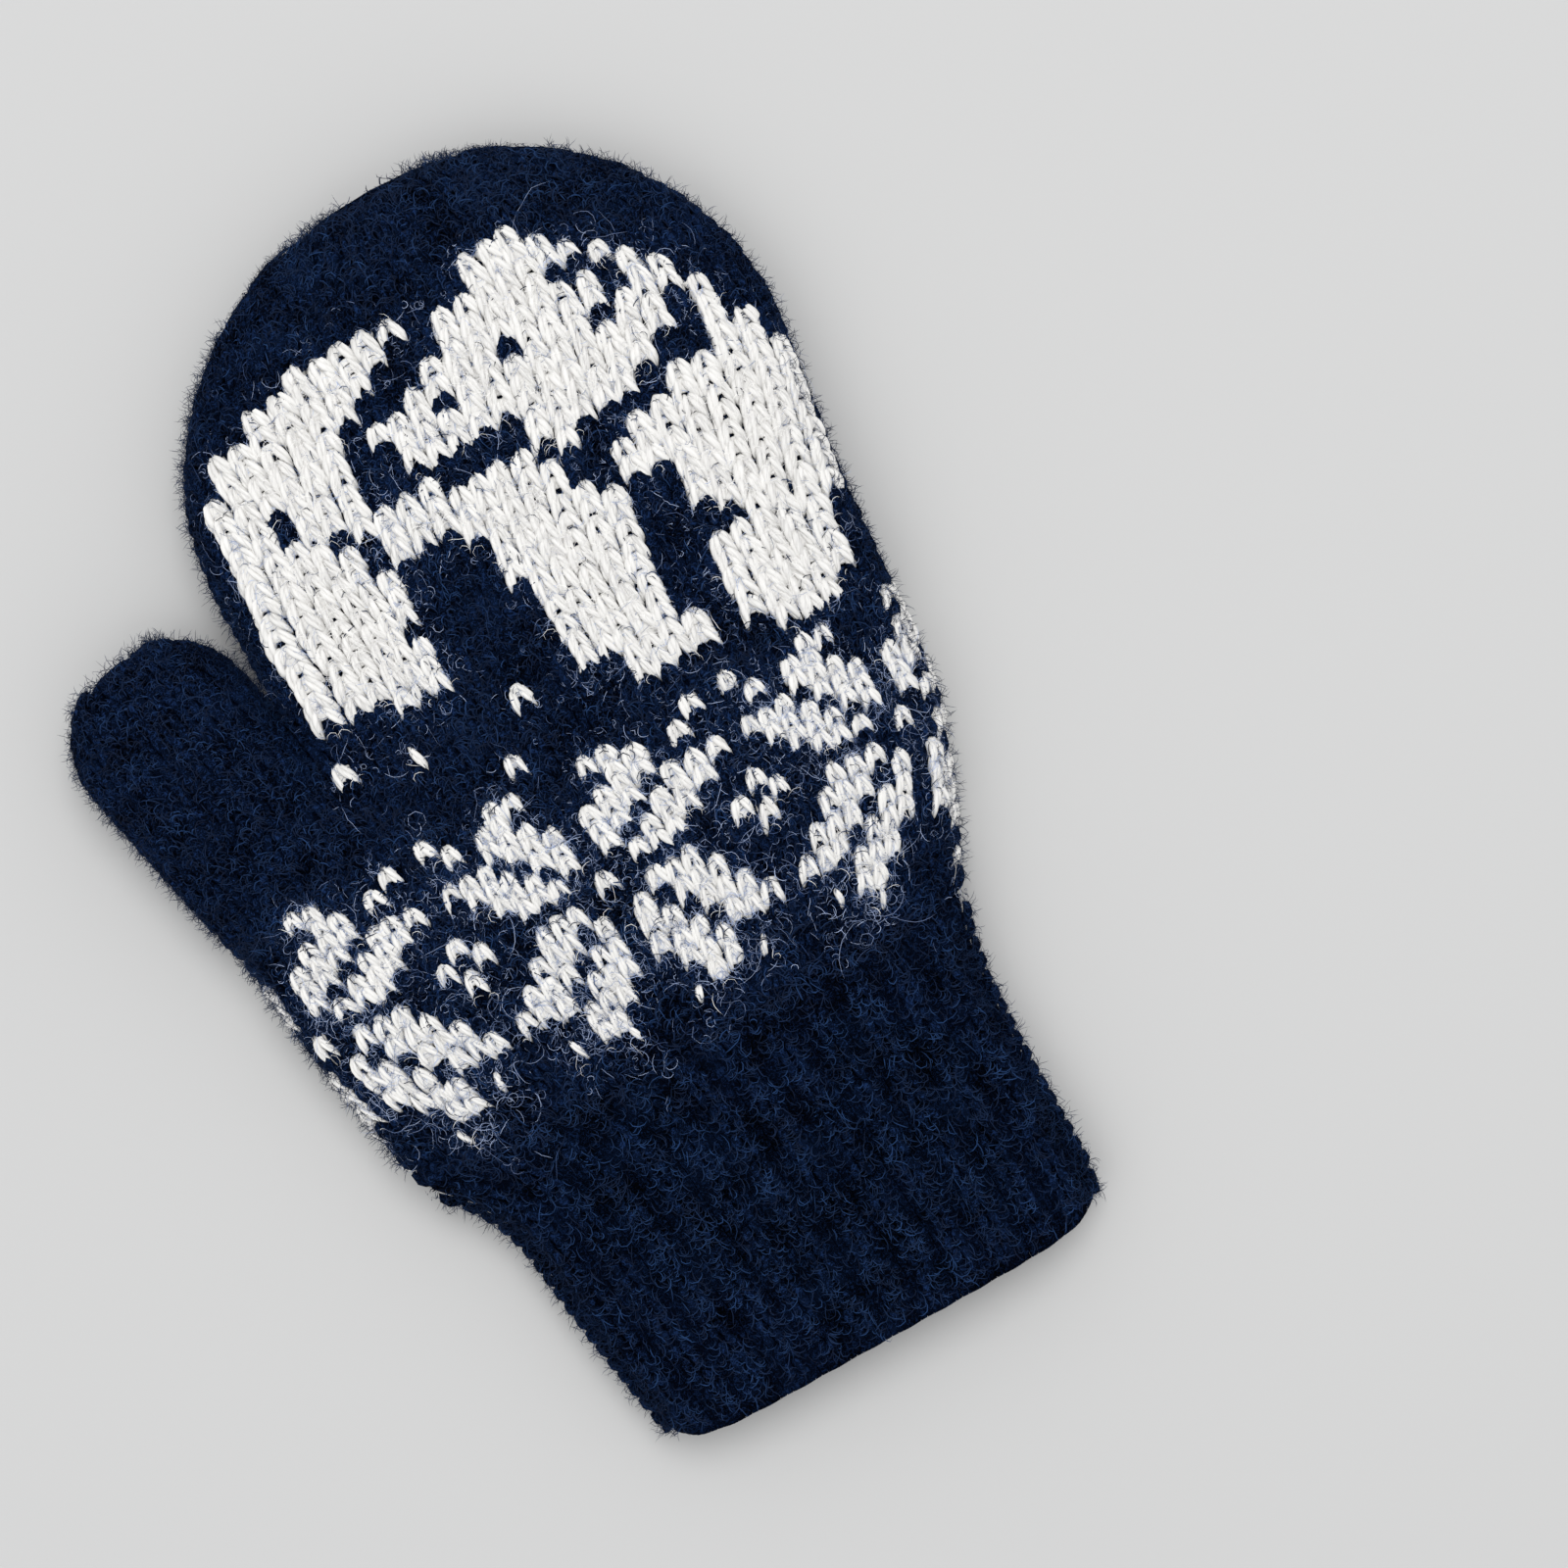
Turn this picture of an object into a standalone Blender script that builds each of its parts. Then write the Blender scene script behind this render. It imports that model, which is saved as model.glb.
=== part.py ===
"""A right-hand knitted mitten, lying palm down: a hand, a thumb and a ribbed cuff, each a hollow knitted wall.

Metres, +Z up, +Y towards the fingertip, thumb on the -X side. The origin is on the surface that the mitten
lies on, on the centre line of the cuff, halfway between the mouth of the cuff and the fingertip.
"""

import math

import bmesh
import bpy
from mathutils import Vector

# Lengths along the mitten, from the mouth of the cuff
LENGTH = 0.2500
CUFF_LENGTH = 0.0700
THUMB_START = 0.1570
FINGERTIP_LENGTH = 0.0563

# The hand and the cuff across, lying flat
HAND_WIDTH = 0.1242
HAND_HEIGHT = 0.0220
HAND_OFFSET = 0.0190
CUFF_WIDTH = 0.1045
CUFF_HEIGHT = 0.0160

# The thumb, from the crotch to its tip
THUMB_LENGTH = 0.0395
THUMB_WIDTH = 0.0364
THUMB_HEIGHT = 0.0200
THUMB_LEAN = math.radians(12.3)
THUMB_ROOT = 0.0400

# The knitted wall and the joins between the pieces
WALL = 0.0030
SEAM_GAP = 0.0003
CUT_PAST = 0.0040

# The ribs of the cuff
RIB_PITCH = 0.0088
RIB_DEPTH = 0.0012
POINTS_PER_RIB = 6

# How full a cross-section is: 2 is an ellipse, more is squarer. Its widest line lies at EDGE_SHARE of its height, and
# FLOOR_PRESS is how far the round underside would reach below the floor, so it lies flat there.
TOP_FULLNESS = 2.7
FLOOR_FULLNESS = 3.4
EDGE_SHARE = 0.46
FLOOR_PRESS = 0.0012

# How the round ends taper: powers of the cosine for the height and for the hand's width, and how far the fingertip
# leans away from the thumb
TIP_FULLNESS = 0.5
TIP_NARROWING = 1.06
FINGERTIP_SHIFT = 0.0035

# How finely the walls are faceted
HAND_POINTS = 48
THUMB_POINTS = 28
BODY_STATIONS = 14
TIP_STATIONS = 7
ROOT_STATIONS = 5
THUMB_STATIONS = 4
CUFF_STATIONS = 10
INNER_STATIONS = 5
CUFF_SAMPLES = 192
CREASE_ANGLE = math.radians(50)

# The hand from the cuff to where the fingertip starts to round. along is a share of that length, right is the edge
# away from the thumb as a share of half the hand's width, and height is a share of the hand's height.
BODY = (
    {"along": 0.00, "right": 0.605, "height": 0.84},
    {"along": 0.19, "right": 0.762, "height": 0.91},
    {"along": 0.31, "right": 0.848, "height": 0.95},
    {"along": 0.45, "right": 0.876, "height": 0.98},
    {"along": 0.70, "right": 0.918, "height": 1.00},
    {"along": 0.87, "right": 0.965, "height": 1.00},
    {"along": 1.00, "right": 1.000, "height": 0.98},
)

# The side that widens towards the thumb. along is a share of the way from the cuff to the crotch, and width is a
# share of the thumb's width.
GUSSET = (
    {"along": 0.00, "width": 0.590},
    {"along": 0.27, "width": 0.713},
    {"along": 0.44, "width": 0.768},
    {"along": 0.64, "width": 0.822},
    {"along": 0.72, "width": 0.740},
    {"along": 0.81, "width": 0.410},
    {"along": 0.91, "width": 0.075},
    {"along": 1.00, "width": 0.000},
)

# The cuff from its mouth to the hand. left, right and height are 0 at the cuff's own size and 1 at the hand's.
CUFF = (
    {"along": 0.00, "left": -0.50, "right": -0.42, "height": 0.25},
    {"along": 0.16, "left": -0.36, "right": -0.02, "height": 0.10},
    {"along": 0.44, "left": -0.10, "right": -0.05, "height": 0.00},
    {"along": 0.72, "left": 0.10, "right": 0.10, "height": 0.15},
    {"along": 0.85, "left": 0.32, "right": 0.33, "height": 0.50},
    {"along": 1.00, "left": 1.00, "right": 1.00, "height": 1.00},
)

# The thumb from its root in the hand, where along is -1, past the crotch at 0 to its tip at 1.
THUMB = (
    {"along": -1.00, "width": 0.78, "height": 0.60},
    {"along": -0.60, "width": 0.99, "height": 0.86},
    {"along": 0.00, "width": 1.00, "height": 0.97},
    {"along": 0.55, "width": 1.00, "height": 1.00},
)

# Soft hollows in the upper side. across and radius are shares of the hand's width, along of the mitten's length,
# and depth of the hand's height.
DENTS = (
    {"across": 0.02, "along": 0.31, "radius": 0.30, "depth": 0.050},
    {"across": -0.36, "along": 0.58, "radius": 0.16, "depth": 0.070},
    {"across": 0.42, "along": 0.46, "radius": 0.20, "depth": 0.045},
    {"across": -0.22, "along": 0.06, "radius": 0.17, "depth": 0.060},
    {"across": 0.20, "along": 0.80, "radius": 0.34, "depth": 0.035},
)

# The rounded corners of the cuff's mouth
CORNER_RISE = 0.0038
CORNER_SHARPNESS = 10
CORNER_REACH = 0.35

NAVY = (0.006, 0.012, 0.035, 1.0)
WOOL_ROUGHNESS = 0.95

SEAM = CUFF_LENGTH - LENGTH / 2
BODY_LENGTH = LENGTH - CUFF_LENGTH - FINGERTIP_LENGTH
THUMB_AXIS = Vector((-math.sin(THUMB_LEAN), math.cos(THUMB_LEAN), 0.0))
THUMB_ACROSS = Vector((math.cos(THUMB_LEAN), math.sin(THUMB_LEAN), 0.0))
CROTCH = Vector((HAND_OFFSET - HAND_WIDTH / 2, THUMB_START - LENGTH / 2, 0.0))
RIBS = round((2 * CUFF_WIDTH + (math.pi - 2) * CUFF_HEIGHT) / RIB_PITCH)


def clear_scene():
    for old in list(bpy.data.objects):
        bpy.data.objects.remove(old)


def shared_slope(before, after):
    """The slope where two stretches meet: their harmonic mean, or level at a peak."""
    return 0.0 if before * after <= 0 else 2 * before * after / (before + after)


def blend(table, along, column):
    """The column's value at along, on a smooth curve through the table's rows that never overshoots them."""
    xs = [row["along"] for row in table]
    ys = [row[column] for row in table]
    if along <= xs[0]:
        return ys[0]
    if along >= xs[-1]:
        return ys[-1]
    slopes = [(ys[i + 1] - ys[i]) / (xs[i + 1] - xs[i]) for i in range(len(xs) - 1)]
    tangents = [slopes[0], *(shared_slope(a, b) for a, b in zip(slopes, slopes[1:])), slopes[-1]]
    i = max(k for k in range(len(slopes)) if xs[k] <= along)
    span = xs[i + 1] - xs[i]
    t = (along - xs[i]) / span
    return (
        ys[i] * (1 + 2 * t) * (1 - t) ** 2
        + ys[i + 1] * t * t * (3 - 2 * t)
        + tangents[i] * span * t * (1 - t) ** 2
        - tangents[i + 1] * span * t * t * (1 - t)
    )


def signed_power(value, power):
    return math.copysign(abs(value) ** power, value)


def dent(x, y):
    """How far the upper side is pressed in at this place."""
    depth = 0.0
    for row in DENTS:
        across = x - HAND_OFFSET - row["across"] * HAND_WIDTH
        along = y + LENGTH / 2 - row["along"] * LENGTH
        radius = row["radius"] * HAND_WIDTH
        depth += row["depth"] * HAND_HEIGHT * math.exp(-(across**2 + along**2) / radius**2)
    return depth


def cross_section(left, right, height, inset, count):
    """(across, up) round a cross-section: domed above, flat where it lies, and inset from the outer face all round."""
    middle, half = (left + right) / 2, (right - left) / 2 - inset
    edge = EDGE_SHARE * height
    points = []
    for step in range(count):
        turn = 2 * math.pi * step / count
        fullness = TOP_FULLNESS if step <= count / 2 else FLOOR_FULLNESS
        across = middle + half * signed_power(math.cos(turn), 2 / fullness)
        swell = abs(math.sin(turn)) ** (2 / fullness)
        if step <= count / 2:
            up = edge + (height - edge - inset) * swell
        else:
            up = max(inset, edge - (edge - inset + FLOOR_PRESS) * swell)
        points.append((across, up))
    return points


def pressed(up, x, y, height):
    """up, lowered by the dents in proportion to how high it lies above the widest line."""
    edge = EDGE_SHARE * height
    return up - dent(x, y) * max(0.0, up - edge) / (height - edge)


def evenly_spaced(points, count):
    """count points at equal steps along the closed outline, from the same start."""
    ends = points[1:] + points[:1]
    steps = [math.dist(a, b) for a, b in zip(points, ends)]
    total = sum(steps)
    spaced, passed, i = [], 0.0, 0
    for k in range(count):
        target = total * k / count
        while passed + steps[i] < target:
            passed += steps[i]
            i += 1
        t = (target - passed) / steps[i]
        spaced.append(tuple(a + (b - a) * t for a, b in zip(points[i], ends[i])))
    return spaced


def bridge(mesh, lower, upper):
    """Quads between two rings of as many vertices."""
    for i in range(len(lower)):
        j = (i + 1) % len(lower)
        mesh.faces.new((lower[i], lower[j], upper[j], upper[i]))


def finish_mesh(mesh, name):
    bmesh.ops.recalc_face_normals(mesh, faces=mesh.faces)
    data = bpy.data.meshes.new(name)
    mesh.to_mesh(data)
    mesh.free()
    return bpy.data.objects.new(name, data)


def closed_loft(name, rings, tip=None):
    """A solid through rings of points, with a flat end on the first and a tip point, or a flat end, on the last."""
    mesh = bmesh.new()
    made = [[mesh.verts.new(point) for point in ring] for ring in rings]
    for lower, upper in zip(made, made[1:]):
        bridge(mesh, lower, upper)
    mesh.faces.new(made[0])
    if tip is None:
        mesh.faces.new(made[-1])
    else:
        pole = mesh.verts.new(tip)
        for i, vertex in enumerate(made[-1]):
            mesh.faces.new((vertex, made[-1][(i + 1) % len(made[-1])], pole))
    return finish_mesh(mesh, name)


def tube_wall(name, outside, inside):
    """A hollow wall open at both ends, between two sets of rings with as many points."""
    mesh = bmesh.new()
    outer = [[mesh.verts.new(point) for point in ring] for ring in outside]
    inner = [[mesh.verts.new(point) for point in ring] for ring in inside]
    for rings in (outer, inner):
        for lower, upper in zip(rings, rings[1:]):
            bridge(mesh, lower, upper)
    bridge(mesh, outer[0], inner[0])
    bridge(mesh, outer[-1], inner[-1])
    return finish_mesh(mesh, name)


def body_edges(along):
    """(left, right, height) of the hand at a share of its straight length."""
    half = HAND_WIDTH / 2
    to_crotch = along * BODY_LENGTH / (THUMB_START - CUFF_LENGTH)
    return (
        HAND_OFFSET - half - THUMB_WIDTH * blend(GUSSET, to_crotch, "width"),
        HAND_OFFSET + half * blend(BODY, along, "right"),
        HAND_HEIGHT * blend(BODY, along, "height"),
    )


def upright_ring(y, left, right, height, inset, count):
    """A ring of the hand or the cuff in the plane across the mitten at y."""
    return [
        Vector((x, y, pressed(z, x, y, height)))
        for x, z in cross_section(left, right, height, inset, count)
    ]


def hand_rings(inset, start):
    """(rings, tip) of the hand's outer face, or of its hollow when inset, from y = start at the cuff end."""
    rings = []
    for station in range(BODY_STATIONS + 1):
        along = station / BODY_STATIONS
        y = start if station == 0 else SEAM + along * BODY_LENGTH
        rings.append(upright_ring(y, *body_edges(along), inset, HAND_POINTS))
    left, right, height = body_edges(1.0)
    middle, half = (left + right) / 2, (right - left) / 2 - inset
    round_start, reach = SEAM + BODY_LENGTH, FINGERTIP_LENGTH - inset
    level = EDGE_SHARE * height
    for station in range(1, TIP_STATIONS):
        turn = math.pi / 2 * station / TIP_STATIONS
        y = round_start + reach * math.sin(turn)
        narrow, low = math.cos(turn) ** TIP_NARROWING, math.cos(turn) ** TIP_FULLNESS
        centre = middle + FINGERTIP_SHIFT * (1 - math.cos(turn))
        ring = upright_ring(y, middle - half, middle + half, height - 2 * inset, 0.0, HAND_POINTS)
        rings.append([
            Vector((centre + (p.x - middle) * narrow, y, level + (p.z + inset - level) * low)) for p in ring
        ])
    return rings, Vector((middle + FINGERTIP_SHIFT, round_start + reach, level))


def thumb_ring(distance, width, height, inset, shrink=1.0, lower=1.0):
    """A ring of the thumb square to its axis, at a distance from the crotch."""
    centre = CROTCH - THUMB_ACROSS * (THUMB_WIDTH / 2 + SEAM_GAP) + THUMB_AXIS * distance
    level = EDGE_SHARE * height
    return [
        centre + THUMB_ACROSS * across * shrink + Vector((0.0, 0.0, level + (up - level) * lower))
        for across, up in cross_section(-width / 2, width / 2, height, inset, THUMB_POINTS)
    ]


def thumb_size(along):
    return THUMB_WIDTH * blend(THUMB, along, "width"), THUMB_HEIGHT * blend(THUMB, along, "height")


def thumb_root_rings(inset, end):
    """The thumb from its root inside the hand up to a distance end from the crotch."""
    rings = []
    for station in range(ROOT_STATIONS + 1):
        along = station / ROOT_STATIONS - 1
        distance = end if station == ROOT_STATIONS else along * THUMB_ROOT
        rings.append(thumb_ring(distance, *thumb_size(along), inset))
    return rings


def thumb_tip_rings(inset, start):
    """(rings, tip) of the thumb from a distance start from the crotch to its round end."""
    straight = THUMB_LENGTH - THUMB_WIDTH / 2
    rings = []
    for station in range(THUMB_STATIONS + 1):
        share = station / THUMB_STATIONS
        width, height = thumb_size(share * straight / THUMB_LENGTH)
        rings.append(thumb_ring(start + share * (straight - start), width, height, inset))
    width, height = thumb_size(1.0)
    reach = width / 2 - inset
    for station in range(1, TIP_STATIONS):
        turn = math.pi / 2 * station / TIP_STATIONS
        lower = math.cos(turn) ** TIP_FULLNESS
        distance = straight + reach * math.sin(turn)
        rings.append(thumb_ring(distance, width, height, inset, math.cos(turn), lower))
    centre = CROTCH - THUMB_ACROSS * (THUMB_WIDTH / 2 + SEAM_GAP) + THUMB_AXIS * (straight + reach)
    return rings, centre + Vector((0.0, 0.0, EDGE_SHARE * height))


def cuff_edges(along):
    """(left, right, height) of the cuff, which widens to the hand's own first section."""
    seam_left, seam_right, seam_height = body_edges(0.0)
    left, right = -CUFF_WIDTH / 2, CUFF_WIDTH / 2
    return (
        left + (seam_left - left) * blend(CUFF, along, "left"),
        right + (seam_right - right) * blend(CUFF, along, "right"),
        CUFF_HEIGHT + (seam_height - CUFF_HEIGHT) * blend(CUFF, along, "height"),
    )


def mouth_rise(x, left, right, along):
    """How far the mouth's edge turns up towards its corners, fading out along the cuff."""
    across = abs(2 * x - left - right) / (right - left)
    fade = max(0.0, 1 - along / CORNER_REACH) ** 2
    return CORNER_RISE * fade * across**CORNER_SHARPNESS


def cuff_ring(along, inset, rib_depth):
    """A ring of the cuff, with its ribs cut in by rib_depth between the crests."""
    left, right, height = cuff_edges(along)
    y = (CUFF_LENGTH - SEAM_GAP) * along - LENGTH / 2
    fine = cross_section(left, right, height, inset, CUFF_SAMPLES)
    points = evenly_spaced(fine, RIBS * POINTS_PER_RIB)
    ring = []
    for i, (x, z) in enumerate(points):
        before, after = points[i - 1], points[(i + 1) % len(points)]
        out = Vector((after[1] - before[1], before[0] - after[0])).normalized()
        groove = rib_depth * (1 - math.cos(2 * math.pi * i / POINTS_PER_RIB)) / 2
        x, z = x - out.x * groove, z - out.y * groove
        ring.append(Vector((x, y + mouth_rise(x, left, right, along), pressed(z, x, y, height))))
    return ring


def wool(name):
    material = bpy.data.materials.new(name)
    material.use_nodes = True
    shader = material.node_tree.nodes["Principled BSDF"]
    shader.inputs["Base Color"].default_value = NAVY
    shader.inputs["Roughness"].default_value = WOOL_ROUGHNESS
    shader.inputs["Metallic"].default_value = 0.0
    material.diffuse_color = NAVY
    return material


def add(collection, piece, material):
    collection.objects.link(piece)
    piece.data.materials.append(material)
    piece.data.shade_smooth()
    piece.data.set_sharp_from_angle(angle=CREASE_ANGLE)


def add_cutter(collection, cutter):
    collection.objects.link(cutter)
    cutter.hide_render = True
    cutter.display_type = "WIRE"


def combine(piece, operation, other):
    modifier = piece.modifiers.new(f"{operation.title()} {other.name}", "BOOLEAN")
    modifier.operation = operation
    modifier.object = other
    modifier.solver = "EXACT"


def make_hand(mitten, cutters):
    """The hand: a hollow wall with a round fingertip, the root of the thumb grown out of its side."""
    rings, tip = hand_rings(0.0, SEAM)
    hand = closed_loft("hand", rings, tip)
    root = closed_loft("thumb_root", thumb_root_rings(0.0, 0.0))
    rings, tip = hand_rings(WALL, SEAM - CUT_PAST)
    hollow = closed_loft("hand_hollow", rings, tip)
    passage = closed_loft("thumb_passage", thumb_root_rings(WALL, CUT_PAST))
    for cutter in (root, hollow, passage):
        add_cutter(cutters, cutter)
    add(mitten, hand, wool("hand wool"))
    combine(hand, "UNION", root)
    combine(hand, "DIFFERENCE", hollow)
    combine(hand, "DIFFERENCE", passage)


def make_thumb(mitten, cutters):
    """The thumb: a hollow finger with a round end, open where it meets its root in the hand."""
    rings, tip = thumb_tip_rings(0.0, SEAM_GAP)
    thumb = closed_loft("thumb", rings, tip)
    rings, tip = thumb_tip_rings(WALL, -CUT_PAST)
    hollow = closed_loft("thumb_hollow", rings, tip)
    add_cutter(cutters, hollow)
    add(mitten, thumb, wool("thumb wool"))
    combine(thumb, "DIFFERENCE", hollow)


def make_cuff(mitten):
    """The cuff: a tube ribbed on the outside and smooth inside, open at the wrist and at the hand."""
    outside = []
    for station in range(CUFF_STATIONS + 1):
        along = station / CUFF_STATIONS
        fade = min(1.0, (1 - along) * CUFF_STATIONS / 2)
        outside.append(cuff_ring(along, 0.0, RIB_DEPTH * fade))
    inside = [cuff_ring(station / INNER_STATIONS, WALL, 0.0) for station in range(INNER_STATIONS + 1)]
    add(mitten, tube_wall("cuff", outside, inside), wool("cuff wool"))


def main():
    clear_scene()
    mitten = bpy.data.collections.new("knitted mitten")
    cutters = bpy.data.collections.new("cutters")
    for collection in (mitten, cutters):
        bpy.context.scene.collection.children.link(collection)
    make_hand(mitten, cutters)
    make_thumb(mitten, cutters)
    make_cuff(mitten)


main()
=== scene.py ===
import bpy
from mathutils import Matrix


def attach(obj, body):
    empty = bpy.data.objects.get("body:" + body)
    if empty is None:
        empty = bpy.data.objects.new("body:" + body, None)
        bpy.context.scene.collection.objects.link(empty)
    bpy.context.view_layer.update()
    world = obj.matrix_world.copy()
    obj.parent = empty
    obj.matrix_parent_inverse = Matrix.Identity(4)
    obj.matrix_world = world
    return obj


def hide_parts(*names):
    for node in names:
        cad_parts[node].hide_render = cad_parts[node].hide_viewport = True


bl_info = {
    "name": "Knitted mitten",
    "version": (1, 0, 0),
    "blender": (4, 5, 0),
    "location": "View3D > Sidebar > Mitten",
    "description": "Knits a navy and white wool mitten over its packed solids",
    "category": "Object",
}

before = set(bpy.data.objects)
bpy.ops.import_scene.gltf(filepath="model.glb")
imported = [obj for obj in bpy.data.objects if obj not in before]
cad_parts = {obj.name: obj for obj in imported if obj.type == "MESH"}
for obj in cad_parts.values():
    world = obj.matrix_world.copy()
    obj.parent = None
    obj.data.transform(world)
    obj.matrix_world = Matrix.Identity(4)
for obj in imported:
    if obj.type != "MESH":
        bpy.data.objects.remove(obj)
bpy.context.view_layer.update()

import math

import bpy
import numpy as np
from mathutils import Vector
from mathutils.bvhtree import BVHTree

# Each piece draws its chance numbers from a seed of its own
SEEDS = {
    "chart": 10, "hand": 11, "bear": 12, "star": 13, "thumb": 14, "cuff": 15, "nap": 21, "halo": 22,
    "strays": 23,
}

MM = 0.001
FLOOR_CLEAR = 0.02
TINY = 1e-9

# Knitting chart, in millimetres like everything below
# Row 0 runs through the middle of the star band; rows count up towards the fingertips.
BAND_ROW = -19.5
ROW_BELOW = 4.38
ROW_BAND = 3.2
ROW_HAND = 3.603
BAND_TOP_ROW = 8
LAST_ROW = 40.8
FIRST_ROW = -8.05

# The camera's lens and sensor, and how far the photo is turned
LENS = 85
SENSOR = 36
PHOTO_TURN = math.radians(-29.3)
CLIP_START = 0.01
# Each light: its place and size in metres, and its share of the main light's power
LIGHTS = {"main_light": ((0.4, 0.55, 1.6), 1.1, 1.0), "fill_light": ((-1.1, -0.3, 1.6), 1.6, 0.45)}
LIT_PLACE = (0.02, 0, 0)
SKY_COLOUR = (0.985, 0.99, 1.0, 1.0)
SKY_STRENGTH = 0.87
FLOOR_REACH = 3

# The charts below are drawn level with the first height, as this eye sees the fabric at the second
CHART_LEVEL = 10.0
TOP_LEVEL = 20.0
EYE = (36.58, -19.04, 748.0)

# Columns of the lower hand: y, then x of each of these columns
LOWER_AT = (-16, -8, 0, 8, 16)
LOWER_COLUMNS = (
    (-56.0, -53.0, -30.5, -4.3, 22.0, 46.0),
    (-45.0, -62.0, -33.5, -4.3, 26.0, 55.0),
    (-28.0, -68.5, -36.0, -4.4, 30.5, 62.0),
    (-15.0, -69.9, -36.1, -4.4, 32.0, 63.3),
    (7.0, -71.0, -37.0, -4.7, 32.4, 66.0),
)
EDGE_PITCH = 4.2
LOWER_FIRST = -17
LOWER_COUNT = 64

# Columns of the upper hand: y, then x of each of these columns
UPPER_AT = (-6, 0, 8)
UPPER_COLUMNS = (
    (6.0, -29.2, -4.7, 32.4),
    (33.0, -29.6, -4.9, 32.6),
    (60.0, -30.2, -2.2, 37.0),
    (92.0, -30.7, 1.5, 43.0),
)
UPPER_EDGES = (-8.6, 16.8)
UPPER_FIRST = -8
UPPER_COUNT = 50

# The star: white columns of each row, counted from its centre
STAR = {
    0: (0, 7),
    1: (2, 3, 4, 8),
    2: (1, 3, 4, 5),
    3: (1, 2, 4, 5, 6),
    4: (1, 2, 3, 5, 6, 7),
    5: (2, 3, 4),
    6: (3, 4, 6),
    7: (2, 3, 7),
}
STAR_REPEAT = 16

# Outlines of the bear in millimetres, drawn one by one: x and y along the mitten
BACK = (
    (-38.0, 84.8), (-32.8, 84.8), (-32.8, 94.2), (-22.6, 94.2), (-22.6, 97.7), (-17.0, 98.5),
    (-6.8, 99.6), (15.0, 100.6), (15.0, 96.2), (7.5, 90.5), (-0.4, 85.2), (-7.0, 80.8),
    (-7.6, 67.8), (7.0, 66.4), (7.0, 53.0), (-9.2, 53.0), (-9.2, 57.5), (-9.4, 47.5),
    (-14.3, 43.5), (-10.7, 38.0), (-10.5, 32.0), (-15.6, 28.0), (-19.4, 28.0), (-24.2, 30.7),
    (-28.0, 32.0), (-31.5, 33.0), (-36.0, 34.0), (-38.2, 36.0), (-37.9, 84.8),
)
HEAD = (
    (-0.8, 80.7), (1.4, 82.6), (5.5, 82.6), (5.9, 85.6), (10.4, 85.6), (11.0, 88.1), (16.2, 88.1),
    (18.2, 95.5), (24.0, 95.5), (25.2, 98.3), (29.7, 98.3), (30.2, 103.5), (35.2, 104.0),
    (40.6, 103.1), (45.6, 101.6), (50.1, 99.0), (52.9, 94.7), (59.2, 94.5), (59.3, 90.5),
    (63.7, 90.5), (63.7, 84.6), (69.0, 84.0), (69.6, 79.1), (66.0, 77.2), (63.3, 76.9),
    (63.3, 70.2), (59.0, 69.0), (55.9, 66.3), (52.0, 64.5), (46.8, 61.0), (41.5, 62.3),
    (39.0, 64.1), (34.8, 59.6), (30.2, 59.6), (25.8, 64.1), (24.0, 68.0), (13.7, 67.8),
    (3.3, 71.1), (-0.4, 71.9),
)
MIDDLE_LEG = (
    (6.3, 63.0), (13.3, 64.5), (18.8, 64.5), (25.0, 63.2), (29.3, 59.3), (29.3, 52.8),
    (33.8, 52.8), (33.8, 48.9), (38.3, 48.9), (37.5, 43.0), (35.6, 34.3), (35.6, 19.2),
    (39.5, 19.2), (39.1, 12.8), (34.8, 10.9), (21.3, 12.8), (21.3, 15.7), (16.2, 17.7),
    (10.8, 22.3), (8.6, 25.4), (11.2, 29.3), (11.2, 41.6), (6.3, 42.0),
)
RIGHT_LEG = (
    (51.6, 60.6), (56.7, 60.6), (56.7, 63.8), (61.6, 63.8), (61.6, 65.5), (66.4, 65.5),
    (68.4, 78.2), (73.2, 78.2), (73.4, 67.3), (76.2, 67.3), (76.2, 61.0), (80.2, 61.0),
    (78.4, 57.7), (77.4, 49.0), (76.2, 40.1), (74.9, 31.3), (73.9, 23.5), (69.6, 22.4),
    (69.6, 15.7), (68.2, 10.8), (64.5, 8.7), (49.5, 8.7), (49.5, 10.8), (46.8, 14.1),
    (47.1, 25.4), (48.9, 30.9), (54.3, 32.9), (54.3, 37.6), (48.9, 37.6), (50.2, 43.0),
    (50.8, 58.6),
)
CHEST = ((40.5, 55.8), (43.0, 57.0), (46.0, 60.2), (50.8, 60.2), (50.8, 48.0), (40.5, 48.0))
BEAR = (BACK, HEAD, MIDDLE_LEG, RIGHT_LEG, CHEST)
# How far inside an outline a white stitch has its top and its foot
STITCH_MARGIN = 1.1
# A navy stitch shows most above its own middle, between the feet of the white one over it
GAP_MARGIN = 0.7
GAP_RISE = 0.6
# Navy stitches inside the bear: lowest x, lowest y, highest x, highest y
BEAR_GAPS = (
    (-26.8, 72.7, -21.1, 77.8), (-18.6, 64.4, -12.9, 68.0), (-14.5, 56.6, -9.2, 64.2),
    (-15.8, 44.0, -12.5, 48.6), (-38.5, 62.4, -34.5, 62.6),
    (13.8, 78.6, 20.1, 82.0), (26.2, 81.6, 32.8, 86.0), (43.2, 89.6, 54.7, 92.7),
    (55.1, 82.4, 59.0, 89.6), (49.0, 79.5, 54.7, 83.0),
)
# Lone white stitches between the bear and the stars: x, y and which legs show
LONE_STITCHES = (
    (-38.7, 27.4, "both"), (-26.8, 23.1, "right"), (2.0, 21.3, "both"), (-8.2, 12.5, "both"),
)

# How far above its row a lone stitch shows
LONE_RISE = 1.6

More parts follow.
